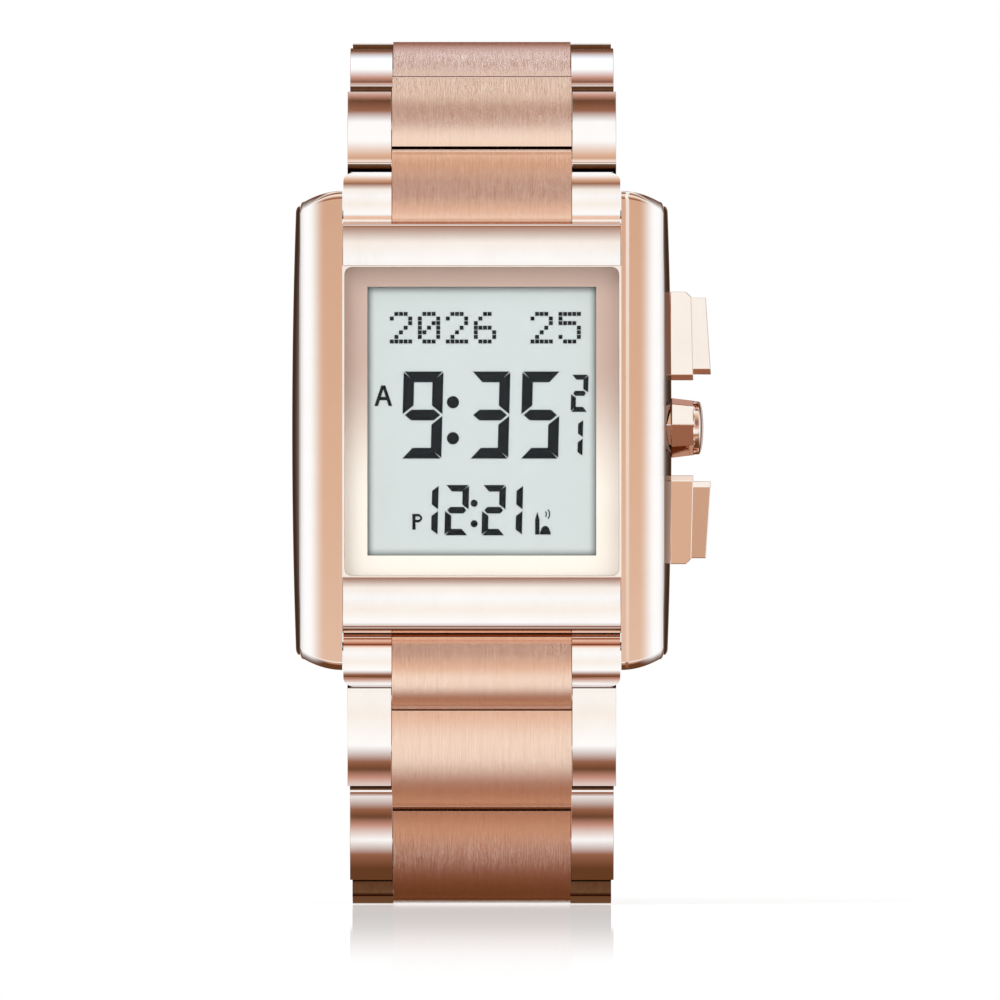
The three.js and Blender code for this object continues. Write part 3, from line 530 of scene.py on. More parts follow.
def soften(made, width, angle=32):
    edge = made.modifiers.new("softEdges", "BEVEL")
    edge.width, edge.segments = width * mm, 3
    edge.limit_method, edge.angle_limit = "ANGLE", math.radians(angle)
    edge.harden_normals = True


# Case
wing = {"bevel": 0.05, "columns": 22, "tipBevel": 0.7, "tipDrop": 0.5, "backRoom": 0.2,
        "rollShares": (0.0, 0.12, 0.25, 0.4, 0.6, 0.8, 1.0, 1.1, 1.3, 1.8)}
caseBack = watch["flankFront"] + watch["sunk"]  # where wings and strips end inside the body


def crestAt(x):
    start, end = watch["wingInner"], watch["wingOuter"]
    control = (start + 2 * end) / 3
    a, b, c = start - 2 * control + end, 2 * (control - start), start - x
    t = (-b + math.sqrt(max(b * b - 4 * a * c, 0.0))) / (2 * a) if abs(a) > 1e-9 else -c / b
    t = min(max(t, 0.0), 1.0)
    return watch["wingCrest"] + (watch["wingBrow"] - watch["wingCrest"]) * t * t


def tipAt(x):
    inner, shoulderX, outer = watch["wingInner"], watch["shoulderX"], watch["wingOuter"]
    if x <= shoulderX:
        path = bezier((inner, watch["tip"]), ((inner + shoulderX) / 2, watch["tip"]),
                      (shoulderX, watch["shoulder"]))
    else:
        path = bezier((shoulderX, watch["shoulder"]), (outer, watch["shoulder"]),
                      (outer, watch["corner"]))
    for (x0, z0), (x1, z1) in zip(path, path[1:]):
        if x <= x1 or (x1, z1) == path[-1]:
            share = 0.0 if x1 == x0 else (x - x0) / (x1 - x0)
            return z0 + (z1 - z0) * min(share, 1.0)


def makeWing(side):
    columns = [watch["wingInner"] + (watch["wingOuter"] - watch["wingInner"])
               * (1 - (1 - i / wing["columns"]) ** 1.5) for i in range(wing["columns"] + 1)]
    shape = bmesh.new()
    rows = []
    for x in columns:
        tip, crest = tipAt(x), crestAt(x)
        row = []
        for share in wing["rollShares"]:  # the crest rolls into the tip
            z = tip - wing["tipBevel"] * share
            drop = wing["tipDrop"] * max(0.0, 1 - share) ** 1.7
            row.append((z, min(crest + drop, caseBack - wing["backRoom"])))
        heights = row + [(h / 8 * row[-1][0], crest) for h in range(7, -1, -1)]
        full = heights + [(-z, y) for z, y in reversed(heights[:-1])]
        rows.append([shape.verts.new((side * x, y, z)) for z, y in full])
    backs = [[shape.verts.new((v.co.x, caseBack, v.co.z)) for v in row] for row in rows]
    for level in (rows, backs):
        for left, right in zip(level, level[1:]):
            for k in range(len(left) - 1):
                shape.faces.new((left[k], left[k + 1], right[k + 1], right[k]))
    loop, under = ([*level[0], *[row[-1] for row in level[1:]], *level[-1][-2::-1],
                    *[row[0] for row in level[-2:0:-1]]] for level in (rows, backs))
    for i in range(len(loop)):
        j = (i + 1) % len(loop)
        shape.faces.new((loop[i], loop[j], under[j], under[i]))
    bmesh.ops.recalc_face_normals(shape, faces=shape.faces)
    return shape


def makeStrip(strip):  # bends evenly from the slope at the crystal to that at the bracelet
    near, edge, steps = strip["near"], strip["edge"], 30
    way = 1 if edge > near else -1
    length = abs(edge - near) - strip["roll"]
    start, end = (math.tan(math.radians(angle)) for angle in strip["slopes"])
    rise = [(start + (end - start) * i / steps / 2) * i / steps * length for i in range(steps + 1)]
    top = strip["crest"] - min(rise)
    curve = [(top + y, near + way * length * i / steps) for i, y in enumerate(rise)]
    low, turn = curve[-1]
    roll = bezier((low, turn), (low + strip["roll"] * end, edge), (strip["brow"], edge), 10)
    inner = watch["wingInner"] - strip["room"]
    return prism([(caseBack, near), *curve, *roll[1:], (caseBack, edge)], "x", -inner, inner)


hollow = {"plate": (-12.2, -12.95, 12.2, 14.65), "corner": 0.8, "depths": (-3.4, 4.1),
          "pocket": 3.13, "pocketReach": (16.1, 18.3)}  # for the module, and for the crown
button = {"axis": 0.35, "crown": 0.25, "offset": 8.6, "length": 8.3, "foot": 17.85,
          "reach": 1.95, "taper": 0.2, "depth": 4.2, "wall": 0.35, "inset": 0.55,
          "long": 1.7, "capTaper": 0.55, "draft": 0.09, "lean": 0.055, "capLean": 0.09,
          "chamfer": (0.3, 0.5), "corner": 0.5, "stem": 0.75, "stemEnd": 13.2, "sunk": 0.1,
          "collar": 1.2, "seat": 1.0, "guardSunk": 0.2, "boreRoom": 0.5}


def makeCaseBody():
    tip, shoulder, corner = (watch[name] - watch["bodyInset"] for name in ("tip", "shoulder", "corner"))
    inner, outer, swell = watch["wingInner"], watch["flankEnd"], watch["flankSwell"]
    shoulderX = outer - watch["bodyInset"]

    def quarter(sx, sz):
        return [(sx * x, sz * z) for x, z in [
            *bezier((inner, tip), ((inner + shoulderX) / 2, tip), (shoulderX, shoulder), 10),
            *bezier((shoulderX, shoulder), (outer, shoulder), (outer, corner), 6)[1:]]]
    flank = bezier((outer, corner), (outer + 2 * swell, 0), (outer, -corner), 40)
    right = [*quarter(1, 1), *flank[1:-1], *reversed(quarter(1, -1))]
    left = [(-x, z) for x, z in reversed(right)]
    top, bottom = watch["topEdge"], watch["bottomEdge"]
    outline = [(-inner, top), (inner, top), *right, (inner, bottom), (-inner, bottom), *left]
    squeeze = watch["flankChamfer"] / (outer - inner)
    narrow = [(x - math.copysign(max(abs(x) - inner, 0.0), x) * squeeze, z) for x, z in outline]
    body = loft("y", [(watch["flankFront"], narrow),
                      (watch["flankFront"] + watch["chamferDepth"], outline),
                      (watch["flankBack"], outline)])
    cavity = prism(plate(*hollow["plate"], hollow["corner"]), "y", *hollow["depths"])
    reliefs = [cylinder(watch["barDepth"], end * watch["barHeight"], watch["barRoom"],
                        -inner, inner, 48) for end in (1, -1)]
    pocket = cylinder(button["axis"], button["crown"], hollow["pocket"], *hollow["pocketReach"], 48)
    return carve(body, cavity, *reliefs, pocket)


addPiece("caseBody", makeCaseBody(), caseFrame, "case", "case", 0.1, ["mid_case"])
for side, word in ((1, "Right"), (-1, "Left")):
    addPiece("caseWing" + word, makeWing(side), caseFrame, "polished", "case", wing["bevel"],
             angle=48)
strips = {
    "Upper": {"edge": watch["topEdge"], "near": watch["crystalTop"], "crest": -5.0, "brow": -3.4,
              "slopes": (6.0, 24.5), "roll": 0.25, "room": 0.02},
    "Lower": {"edge": watch["bottomEdge"] - 0.55, "near": watch["crystalBottom"], "crest": -5.0,
              "brow": -2.95, "slopes": (-26.0, 13.5), "roll": 0.55, "room": 0.02},
}
for word, strip in strips.items():
    addPiece("caseStrip" + word, makeStrip(strip), caseFrame,
             "polished", "case", 0.06, angle=40)
print("case made")

# Crystal, mirror frame and display
pane = {"plate": (-12.85, -13.6, 12.85, 15.3), "corner": 0.8, "depths": (-5.3, -3.9),
        "frameDepths": (-3.8, -3.5), "cutDepths": (-4.2, -3.0)}
opening = plate(-lcdWindow["half"], lcdWindow["bottom"], lcdWindow["half"], lcdWindow["top"])
addPiece("crystal", prism(plate(*pane["plate"], pane["corner"]), "y", *pane["depths"]), caseFrame,
         "crystal", "case", 0.2, ["crystal"])
addPiece("mirrorFrame", carve(prism(plate(*pane["plate"], pane["corner"]), "y", *pane["frameDepths"]),
                              prism(opening, "y", *pane["cutDepths"])),
         caseFrame, "mirror", "case", 0.05, ["display_mask"])

digits = {
    "front": -3.44, "back": -3.41, "slant": 0.025, "gap": 0.085,
    "segments": {"0": "abcdef", "1": "bc", "2": "abged", "3": "abgcd", "4": "fgbc",
                 "5": "afgcd", "6": "afgedc", "7": "abc", "8": "abcdefg", "9": "abcdfg"},
}
dots = {  # five by seven dot numerals, rows from the top
    "0": "01110100011001110101110011000101110", "2": "01110100010000100010001000100011111",
    "5": "11111100001111000001000011000101110", "6": "00110010001000011110100011000101110",
}


def segmentBars(number, left, right, low, high, bar):
    gap, mid = digits["gap"], (low + high) / 2
    half = bar / 2

    def level(z, x0, x1, cutLow, cutHigh):  # a bar with bevelled ends
        return [(x0 + cutLow, z + half), (x1 - cutLow, z + half), (x1 - cutHigh, z - half),
                (x0 + cutHigh, z - half)]

    def upright(x, z0, z1, outward):
        inner, outer = (x - half * outward, x + half * outward)
        step = bar * 0.9
        return [(outer, z0 + gap), (inner, z0 + step), (inner, z1 - step), (outer, z1 - gap)]
    shortLeft, shortRight = left + bar * 0.8, right - bar * 0.8
    places = {
        "a": level(high - half, left, right, gap, bar),
        "d": level(low + half, left, right, bar, gap),
        "g": [(left + gap * 2.5, mid), (shortLeft, mid + half), (shortRight, mid + half),
              (right - gap * 2.5, mid), (shortRight, mid - half), (shortLeft, mid - half)],
        "f": upright(left + half, mid, high, -1), "e": upright(left + half, low, mid, -1),
        "b": upright(right - half, mid, high, 1), "c": upright(right - half, low, mid, 1),
    }
    return [[(x + digits["slant"] * (z - low), z) for x, z in places[name]]
            for name in digits["segments"][number]]


def dotNumber(number, left, low, pitch=0.43, size=0.36):
    made = []
    for index, mark in enumerate(dots[number]):
        if mark == "1":
            x, z = left + (index % 5) * pitch, low + (6 - index // 5) * pitch
            made.append(plate(x, z, x + size, z + size))
    return made


readout = {  # rows of numbers with their left and right sides, low, high and bar width
    "rows": [
        ([("9", -7.51, -3.79), ("3", -1.12, 2.47), ("5", 3.6, 7.14)], -2.62, 5.52, 1.0),
        ([("2", 8.31, 9.9)], 1.75, 5.22, 0.46), ([("1", 8.3, 9.4)], -2.42, 1.05, 0.46),
        ([("1", -6.2, -4.15), ("2", -3.5, -1.3), ("2", -0.03, 2.15), ("1", 1.7, 3.75)],
         -9.8, -5.1, 0.6),
    ],
    "colons": [(-2.7, 2.65, 0.57, 28), (-2.7, -0.72, 0.57, 28),
               (-0.72, -6.8, 0.33, 24), (-0.72, -8.72, 0.33, 24)],
    "dotted": [("2", -8.6), ("0", -5.98), ("2", -3.36), ("6", -0.74), ("2", 4.56), ("5", 7.18)],
    "dottedLow": 8.15, "letterA": (-10.05, -8.38, 2.3, 4.22, 0.34),
    "letterP": (-6.5, -5.41, -9.27, -7.8, 0.3), "call": (4.89, -9.72),
}


def makeDisplay():
    shapes = []
    for numbers, low, high, bar in readout["rows"]:
        for number, left, right in numbers:
            shapes += segmentBars(number, left, right, low, high, bar)
    shapes += [ring(*dot) for dot in readout["colons"]]
    for number, left in readout["dotted"]:
        shapes += dotNumber(number, left, readout["dottedLow"])
    shapes += letterA(*readout["letterA"]) + letterP(*readout["letterP"])
    shapes += callIcon(*readout["call"])
    return merge(*[prism(shape, "y", digits["front"], digits["back"]) for shape in shapes])


def letterA(left, right, low, high, bar):
    top, third = (left + right) / 2, low + (high - low) * 0.28
    lean = (top - left) * 0.28
    inset, thick = lean + bar * 0.4, bar * 0.9
    return [[(left, low), (left + bar, low), (top + bar * 0.35, high), (top - bar * 0.55, high)],
            [(right, low), (right - bar, low), (top - bar * 0.35, high), (top + bar * 0.55, high)],
            [(left + lean, third), (right - lean, third), (right - inset, third + thick),
             (left + inset, third + thick)]]


def letterP(left, right, low, high, bar):
    mid = (low + high) / 2 - bar * 0.2
    turn, thick, start = right - bar * 1.6, bar * 0.8, left + bar * 0.9
    centre = (mid + high) / 2
    bow = bezier((turn, high), (right + bar * 0.5, centre), (turn, mid), 10)
    hole = bezier((turn, mid + thick), (right - bar * 0.7, centre), (turn, high - thick), 10)
    return [plate(left, low, left + bar, high),
            [(start, high), *bow, (start, mid), (start, mid + thick), *hole, (start, high - thick)]]


def callIcon(left, low):  # a tower, a dome and two sound arcs
    def arc(radius, thick):
        turns = spread(math.radians(-38), math.radians(38), 8)
        centre = (left + 0.75, low + 1.9)
        return [(centre[0] + r * math.cos(a), centre[1] + r * math.sin(a))
                for r, way in ((radius, 1), (radius + thick, -1)) for a in turns[::way]]
    tower = [(left + 0.1, low), (left + 0.5, low), (left + 0.5, low + 1.4), (left + 0.3, low + 2.1),
             (left + 0.1, low + 1.4)]
    dome = [(left + 0.55, low), (left + 1.55, low), (left + 1.55, low + 0.25),
            *[(left + 1.05 + 0.42 * math.cos(a), low + 0.3 + 0.5 * math.sin(a))
              for a in spread(0, math.pi, 10)], (left + 0.55, low + 0.25)]
    return [tower, dome, arc(0.35, 0.1), arc(0.65, 0.1)]


addPiece("displaySegments", makeDisplay(), caseFrame, "segment", "case")
print("display made")

# Buttons on the crown side


def buttonOutline(end, inset, depthInset):  # from the crown side to the far side
    near = button["offset"] - button["length"] / 2 + inset
    far = button["offset"] + button["length"] / 2 - inset
    front = button["axis"] - button["depth"] / 2 + depthInset
    back = button["axis"] + button["depth"] / 2 - depthInset
    deep, wide = button["chamfer"]
    return [(y, button["crown"] + end * z) for y, z in (
        (front + deep, near), (front, near + wide), (front, far), (back, far), (back, near))]


def leanFront(shape, end, lean, taper):  # the front falls away outwards and from the crown
    near = button["offset"] - button["length"] / 2

    def rule(x, y, z):
        away = (z - button["crown"]) * end - near
        front = y < button["axis"]
        outer = x > button["foot"] + button["collar"]
        return (x - outer * taper * away / button["length"],
                y + front * (button["draft"] * max(x - button["foot"], 0.0) + lean * away), z)
    return reshape(shape, rule)


def makeGuard(end):
    foot, rim = button["foot"], button["foot"] + button["reach"]
    body = prism(buttonOutline(end, 0.0, 0.0), "x", foot - button["guardSunk"], rim)
    wall, far = button["wall"], button["crown"] + end * (button["offset"] + button["length"] / 2)
    front, back = button["axis"] - button["depth"] / 2, button["axis"] + button["depth"] / 2
    near = button["crown"] + end * (button["offset"] - button["length"] / 2)
    (deep, wide), room = button["chamfer"], button["boreRoom"]
    bore = prism([(front + wall + deep, near + end * wall), (front + wall, near + end * (wall + wide)),
                  (front + wall, far - end * wall), (back - wall, far - end * wall),
                  (back - wall, near + end * wall)], "x", foot - room, rim + room)
    corner = button["corner"]
    past = rim + overrun
    nick = prism([(rim - corner, far), (past, far - end * (corner + overrun)),
                  (past, far + end * overrun)], "y", front - overrun, back + overrun)
    return leanFront(carve(body, bore, nick), end, button["lean"], button["taper"])


def makeStem(height, seat):
    return cylinder(button["axis"], height, button["stem"], button["stemEnd"], seat + button["sunk"])


def makePusher(end):
    foot = button["foot"]
    seat, rim = foot + button["seat"], foot + button["reach"] + button["long"]
    cap = prism(buttonOutline(end, button["inset"], button["inset"]), "x", seat, rim)
    leanFront(cap, end, button["capLean"], button["capTaper"])
    return merge(cap, makeStem(button["crown"] + end * button["offset"], seat))


crown = {"radius": 2.84, "sides": 8, "turn": 38, "seat": 17.2, "neck": 2.6, "collar": 17.75,
         "reach": 20.15, "chamfer": 0.25, "taper": 0.26,
         "domeRadius": 2.5, "dome": 0.6, "domeRim": 0.08, "domeSteps": 24, "domeSunk": 0.4}


def lathe(profile, sides, turn):  # round the crown's axis; the profile gives (radius, x)
    shape = bmesh.new()
    angles = [turn + 2 * math.pi * i / sides for i in range(sides)]
    rings = [[shape.verts.new((x, button["axis"] - radius * math.sin(angle),
                               button["crown"] + radius * math.cos(angle)))
              for angle in (angles if radius else [0.0])] for radius, x in profile]
    for low, high in zip(rings, rings[1:]):
        for i in range(sides):
            j = (i + 1) % sides
            corners = [low[i % len(low)], low[j % len(low)], high[j % len(high)], high[i % len(high)]]
            shape.faces.new(list(dict.fromkeys(corners)))
    bmesh.ops.recalc_face_normals(shape, faces=shape.faces)
    return shape


def makeCrown():
    radius, reach, chamfer = crown["radius"], crown["reach"], crown["chamfer"]
    tip = radius - crown["taper"]
    neck, seat, collar = crown["neck"], crown["seat"], crown["collar"]
    facets = lathe([(0, seat), (neck, seat), (neck, collar), (radius, collar), (tip, reach - chamfer),
                    (tip - chamfer, reach), (0, reach)], crown["sides"], math.radians(crown["turn"]))
    wide, rim, sunk = crown["domeRadius"], crown["domeRim"], reach - crown["domeSunk"]
    cap = [(wide * math.sin(turn), reach + rim + (crown["dome"] - rim) * math.cos(turn) ** 0.8)
           for turn in spread(0, math.pi / 2, crown["domeSteps"])]
    dome = lathe([*cap, (wide, sunk), (0, sunk)], 48, 0.0)
    return merge(facets, dome, makeStem(button["crown"], seat))


for end, word in ((1, "upper"), (-1, "lower")):
    addPiece(word + "PusherGuard", makeGuard(end), caseFrame, "polished", "case", 0.07,
             [word + "_pusher_guard"], angle=18)
    addPiece(word + "Pusher", makePusher(end), caseFrame, "polished", word + "_pusher", 0.07,
             [word + "_pusher"], angle=18)
addPiece("crownButton", makeCrown(), caseFrame, "polished", "crown_button", 0.08,
         ["crown_button"], angle=25)
print("buttons made")

# Bracelet
bracelet = {"radius": 1.3, "gap": 0.2, "pitch": 9.2, "endPitch": 4.8, "sideDome": 0.6,
            "centreDome": 0.4, "endDome": 0.5, "corner": 0.5, "lipGap": 0.14, "lipFoot": 0.15,
            "lipTurn": math.radians(70), "seam": 0.04, "endRound": 0.9, "endFlare": 0.16,
            "endLip": 0.4, "room": 0.02, "cutDepth": 3, "cutRoom": 0.3,
            "flatter": {(1, 3): 0.5, (1, 4): 0.5, (-1, 3): 0.8, (-1, 4): 0.8},
            "width": 25.6, "centreWidth": 16.9, "widthStep": 0.45, "centreStep": 0.2,
            "pin": 0.6, "pinShare": 0.52, "pinSunk": 0.4, "bore": 0.9, "barBore": 1.05,
            "sideLimit": 0.85, "centreLimit": 0.5, "endLimit": 0.7}
pinRadius, endCorner = bracelet["radius"], bracelet["corner"]
reach = pinRadius + bracelet["gap"]
bareStart = endCorner - pinRadius
sideEnd, centreEnd = bracelet["pitch"] - reach, bracelet["pitch"] + pinRadius
endSideEnd, endCentreEnd = bracelet["endPitch"] - reach, bracelet["endPitch"] + pinRadius
seamAt = (bracelet["gap"] - bracelet["seam"]) / 2


def linkProfile(run, start, end, dome, roundStart, roundEnd):
    def roundTip(at, way):  # rounded round the pin, from the outer face inwards
        outer = [(at + way * endCorner * (1 - math.cos(a)), pinRadius - endCorner * (1 - math.sin(a)))
                 for a in spread(math.pi / 2, 0, 8)]
        return outer + [(at + way * pinRadius * (1 - math.cos(a)), -pinRadius * math.sin(a))
                        for a in spread(0, math.pi / 2, 12)]

    def flatTip(at, way):  # its lip covers the neighbour's rounded corner
        room, wide = bracelet["gap"] + endCorner, endCorner + bracelet["lipGap"]
        lip = [(at - way * (room - wide * math.cos(a)), pinRadius - endCorner + wide * math.sin(a))
               for a in spread(bracelet["lipTurn"], 0, 8)]
        return lip + [(at, pinRadius - endCorner - bracelet["lipFoot"]), (at, -pinRadius)]
    path = (roundTip if roundStart else flatTip)(start, 1)
    path += reversed((roundTip if roundEnd else flatTip)(end, -1))
    first, last = path[0], path[-1]
    for t in spread(0, 1, 28)[1:-1]:
        path.append((last[0] + (first[0] - last[0]) * t,
                     last[1] + (first[1] - last[1]) * t + dome * 4 * t * (1 - t)))
    return [(-out, run * along) for along, out in path]


def domeOf(link, run, dome):  # the links at the loop's top and on the floor lie flatter
    return dome * bracelet["flatter"].get((run, link), 1.0)


def pairOf(profile, inner, outer):  # the same shape on both sides
    return [prism(profile, "x", *sorted((side * inner, side * outer))) for side in (1, -1)]


def makeSides(link, run):
    outer = (bracelet["width"] - link * bracelet["widthStep"]) / 2
    inner = (bracelet["centreWidth"] - link * bracelet["centreStep"]) / 2 + seamAt + bracelet["seam"]
    profile = linkProfile(run, -pinRadius, sideEnd, domeOf(link, run, bracelet["sideDome"]), True, False)
    end = inner + bracelet["pinSunk"]
    pins = [cylinder(0, run * share * bracelet["pitch"], bracelet["pin"], -end, end, 20)
            for share in (0.0, bracelet["pinShare"])]
    body = merge(*pairOf(profile, inner, outer), *pins)
    return darken(body, run, bareStart, sideEnd, bracelet["sideLimit"])


def makeCentre(link, run):
    half = (bracelet["centreWidth"] - link * bracelet["centreStep"]) / 2 + seamAt
    profile = linkProfile(run, reach, centreEnd, domeOf(link, run, bracelet["centreDome"]), False, True)
    bores = [cylinder(0, run * along, bracelet["bore"], -half - overrun, half + overrun)
             for along in (bracelet["pinShare"] * bracelet["pitch"], bracelet["pitch"])]
    body = carve(prism(profile, "x", -half, half), *bores)
    return darken(body, run, reach + bracelet["room"], centreEnd - endCorner, bracelet["centreLimit"])


def makeEndSides(run):
    outer, inner = bracelet["width"] / 2 + bracelet["endFlare"], bracelet["centreWidth"] / 2
    profile = linkProfile(run, -pinRadius, endSideEnd, bracelet["sideDome"], True, False)
    cut = cylinder(0, 0, bracelet["barBore"], -outer - overrun, outer + overrun)
    end, soft = endSideEnd + bracelet["endLip"], bracelet["endRound"]
    arc = [(soft * (1 - math.cos(a)), soft * (1 - math.sin(a))) for a in spread(0, math.pi / 2, 8)]
    arc.append((-bracelet["cutRoom"], -bracelet["cutRoom"]))
    corners = [prism([(side * (outer - dx), run * (end - dz)) for dx, dz in arc],
                     "y", -bracelet["cutDepth"], bracelet["cutDepth"]) for side in (1, -1)]
    body = carve(merge(*pairOf(profile, inner, outer)), cut, *corners)
    return darken(body, run, bareStart, endSideEnd, bracelet["endLimit"])


def makeEndCentre(run):
    half = bracelet["centreWidth"] / 2 - bracelet["room"]
    profile = linkProfile(run, -pinRadius, endCentreEnd, bracelet["endDome"], True, True)
    bores = [cylinder(0, run * along, radius, -half - overrun, half + overrun) for along, radius in (
        (0, bracelet["barBore"]), (bracelet["endPitch"], bracelet["bore"]))]
    body = carve(prism(profile, "x", -half, half), *bores)
    return darken(body, run, bareStart, endCentreEnd - endCorner, bracelet["endLimit"])


for word, count in (("upper", 6), ("lower", 7)):
    place, run = hingeFrame(word + "_end_link")
    addPiece(word + "EndLinkSides", makeEndSides(run), place, "polished", word + "_end_link", 0.12,
             [word + "_end_link"])
    addPiece(word + "EndLinkCentre", makeEndCentre(run), place, "brushed", word + "_end_link", 0.07)
    for link in range(1, count + 1):
        body = f"{word}_link_{link}"
        place, run = hingeFrame(body)
        addPiece(f"{word}Link{link}Sides", makeSides(link, run), place, "polished", body, 0.09,
                 [body + "_sides"])
        addPiece(f"{word}Link{link}Centre", makeCentre(link, run), place, "brushed", body, 0.07,
                 [body + "_center"])
print("bracelet made")

# Clasp
clasp = {"length": 38.0, "radius": 45.0, "outer": 1.9, "wall": 0.9, "skirt": 0.9, "depth": 1.2,
         "half": 11.225, "lip": 1.0, "button": 5.0, "buttonShare": 0.72, "buttonHeight": 1.5,
         "buttonRoom": 0.2, "proud": 0.7, "lipStep": 0.25, "barrel": 1.25, "barrelInner": 8.05}
claspFrame = hingeFrame("clasp_cover")[0]


def onClasp(along, out):
    half = clasp["length"] / 2 / clasp["radius"]
    angle, radius = along / clasp["radius"] - half, clasp["radius"] + out
    return (clasp["radius"] * math.cos(half) - radius * math.cos(angle),
            clasp["radius"] * math.sin(half) + radius * math.sin(angle))


def arcBand(start, end, inner, outer, steps=36):
    places = spread(start, end, steps)
    return [*[onClasp(along, outer) for along in places],
            *[onClasp(along, inner) for along in reversed(places)]]


def makeCover():
    half, end = clasp["half"], clasp["length"] + clasp["lip"]
    under, top = clasp["outer"] - clasp["wall"], clasp["outer"] - clasp["lipStep"]
    parts = [prism(arcBand(reach, end, under, clasp["outer"]), "x", -half, half)]
    middle = clasp["buttonShare"] * clasp["length"]
    room, barrel = clasp["button"] / 2 + clasp["buttonRoom"], clasp["barrel"]
    low, high = middle - room, middle + room
    for side in (-1, 1):
        x0, x1 = sorted((side * (half - clasp["skirt"]), side * half))
        parts += [prism(arcBand(0, low, -clasp["depth"], top), "x", x0, x1),
                  prism(arcBand(high, end, -clasp["depth"], top, 12), "x", x0, x1),
                  prism(arcBand(low, high, 0.5, top, 8), "x", x0, x1)]
        curve = [(barrel * math.cos(a), barrel * math.sin(a))
                 for a in spread(math.pi / 2, 3 * math.pi / 2, 14)]
        outline = [(-out, along) for along, out in [(reach, barrel), *curve, (reach, -barrel)]]
        parts.append(prism(outline, "x", *sorted((side * clasp["barrelInner"], side * half))))
    return merge(*parts)


addPiece("claspCover", makeCover(), claspFrame, "claspRose", "clasp_cover", 0.16, ["clasp_cover"])
for side, word in ((1, "right"), (-1, "left")):
    middle = clasp["buttonShare"] * clasp["length"]
    x0, x1 = sorted((side * (clasp["half"] - clasp["skirt"]), side * (clasp["half"] + clasp["proud"])))
    addPiece("claspButton" + word.capitalize(), prism(
        arcBand(middle - clasp["button"] / 2, middle + clasp["button"] / 2, -clasp["depth"],
                clasp["buttonHeight"] - clasp["depth"], 10), "x", x0, x1),
        claspFrame, "polished", "clasp_button_" + word, 0.15, ["clasp_button_" + word])
print("clasp made")

# CAD nodes that keep their own shape
kept = {
    "steel": ["case_back", *[f"back_screw_{number}" for number in range(1, 5)],
              "upper_spring_bar", "lower_spring_bar", "clasp_end_bar", "battery_clip"],
    "polished": ["clasp_middle_blade", "clasp_bottom_blade"],
    "cell": ["battery"], "lcd": ["lcd_panel"], "film": ["lcd_reflector"],
    "rubber": ["crystal_gasket", "back_gasket", "lower_contact_strip", "upper_contact_strip"],
    "plastic": ["module_frame"], "board": ["circuit_board"], "brass": ["sounder_disc"],
}
for finish, names in kept.items():
    for name in names:
        node = frame["nodes"][name]
        node.data.materials.clear()
        node.data.materials.append(finishes[finish])
        if name in ("case_back", "clasp_middle_blade", "clasp_bottom_blade"):
            soften(node, 0.12, 40)
print("kept nodes finished")


# Studio
studio = {
    "floorRadius": 12.0, "tentRadius": 0.9, "tentHalf": 2.4, "background": 1.0, "dome": 0.86,
    "cameraDistance": 4.0, "frameWidth": 93.5, "sensor": 36.0, "aim": (-0.173, 37.92),
    "floorShade": (0.935, 0.935, 0.935), "glossShade": (0.94, 0.94, 0.94), "glossShare": 0.8,
    "glossReach": (60.0, 1000.0), "glowShare": 0.35, "glowReach": (150.0, 750.0),
}
lamps = {  # place and size in metres, and watts
    "keyLamp": ((-1.4, -2.0, 3.4), 1.2, 74.0),
    "fillLamp": ((2.2, -2.6, 2.0), 1.6, 19.0),
}
objectMiddle = (cadBox[0] + cadBox[1]) / 2


def shownRay(shader):  # camera, glossy and transmission rays
    path = [shader.node("ShaderNodeLightPath", output=name)
            for name in ("Is Camera Ray", "Is Glossy Ray", "Is Transmission Ray")]
    return path[0].atLeast(path[1]).atLeast(path[2])


def makeWorld():
    world = bpy.data.worlds.new("studioAir")
    bpy.context.scene.world = world
    world.use_nodes = True
    shader = Shader(world.node_tree)
    seen = shownRay(shader)
    level = seen * studio["background"] + (1.0 - seen) * studio["dome"]
    air = shader.node("ShaderNodeBackground", {}, {"Color": (1.0, 1.0, 1.0), "Strength": level})
    shader.node("ShaderNodeOutputWorld", {}, {"Surface": air})


def makeFloor():
    shape = bmesh.new()
    bmesh.ops.create_grid(shape, x_segments=24, y_segments=24, size=studio["floorRadius"])
    made = newObject("floor", shape)
    material, shader = newMaterial("paleFloor")
    away = shader.length(shader.place())
    matt = shader.node("ShaderNodeBsdfDiffuse", {}, {"Color": studio["floorShade"]})
    gloss = shader.node("ShaderNodeBsdfPrincipled", {}, {
        "Base Color": studio["glossShade"], "Roughness": 0.03, "IOR": 1.25})
    shine = studio["glossShare"] * (1.0 - away.ramp(*studio["glossReach"]))
    sheet = shader.node("ShaderNodeMixShader", {}, {0: shine, 1: matt, 2: gloss})
    glow = shader.node("ShaderNodeEmission", {}, {"Color": (1.0, 1.0, 1.0), "Strength": 1.0})
    near = studio["glowShare"]
    fade = shownRay(shader) * (near + (1 - near) * away.ramp(*studio["glowReach"]))
    shader.node("ShaderNodeOutputMaterial", {}, {
        "Surface": shader.node("ShaderNodeMixShader", {}, {0: fade, 1: sheet, 2: glow})})
    made.data.materials.append(material)
    made.visible_glossy = False


steelTint = (0.88, 0.58, 0.44)  # what the polished steel makes of white light
tentBright = 3.0
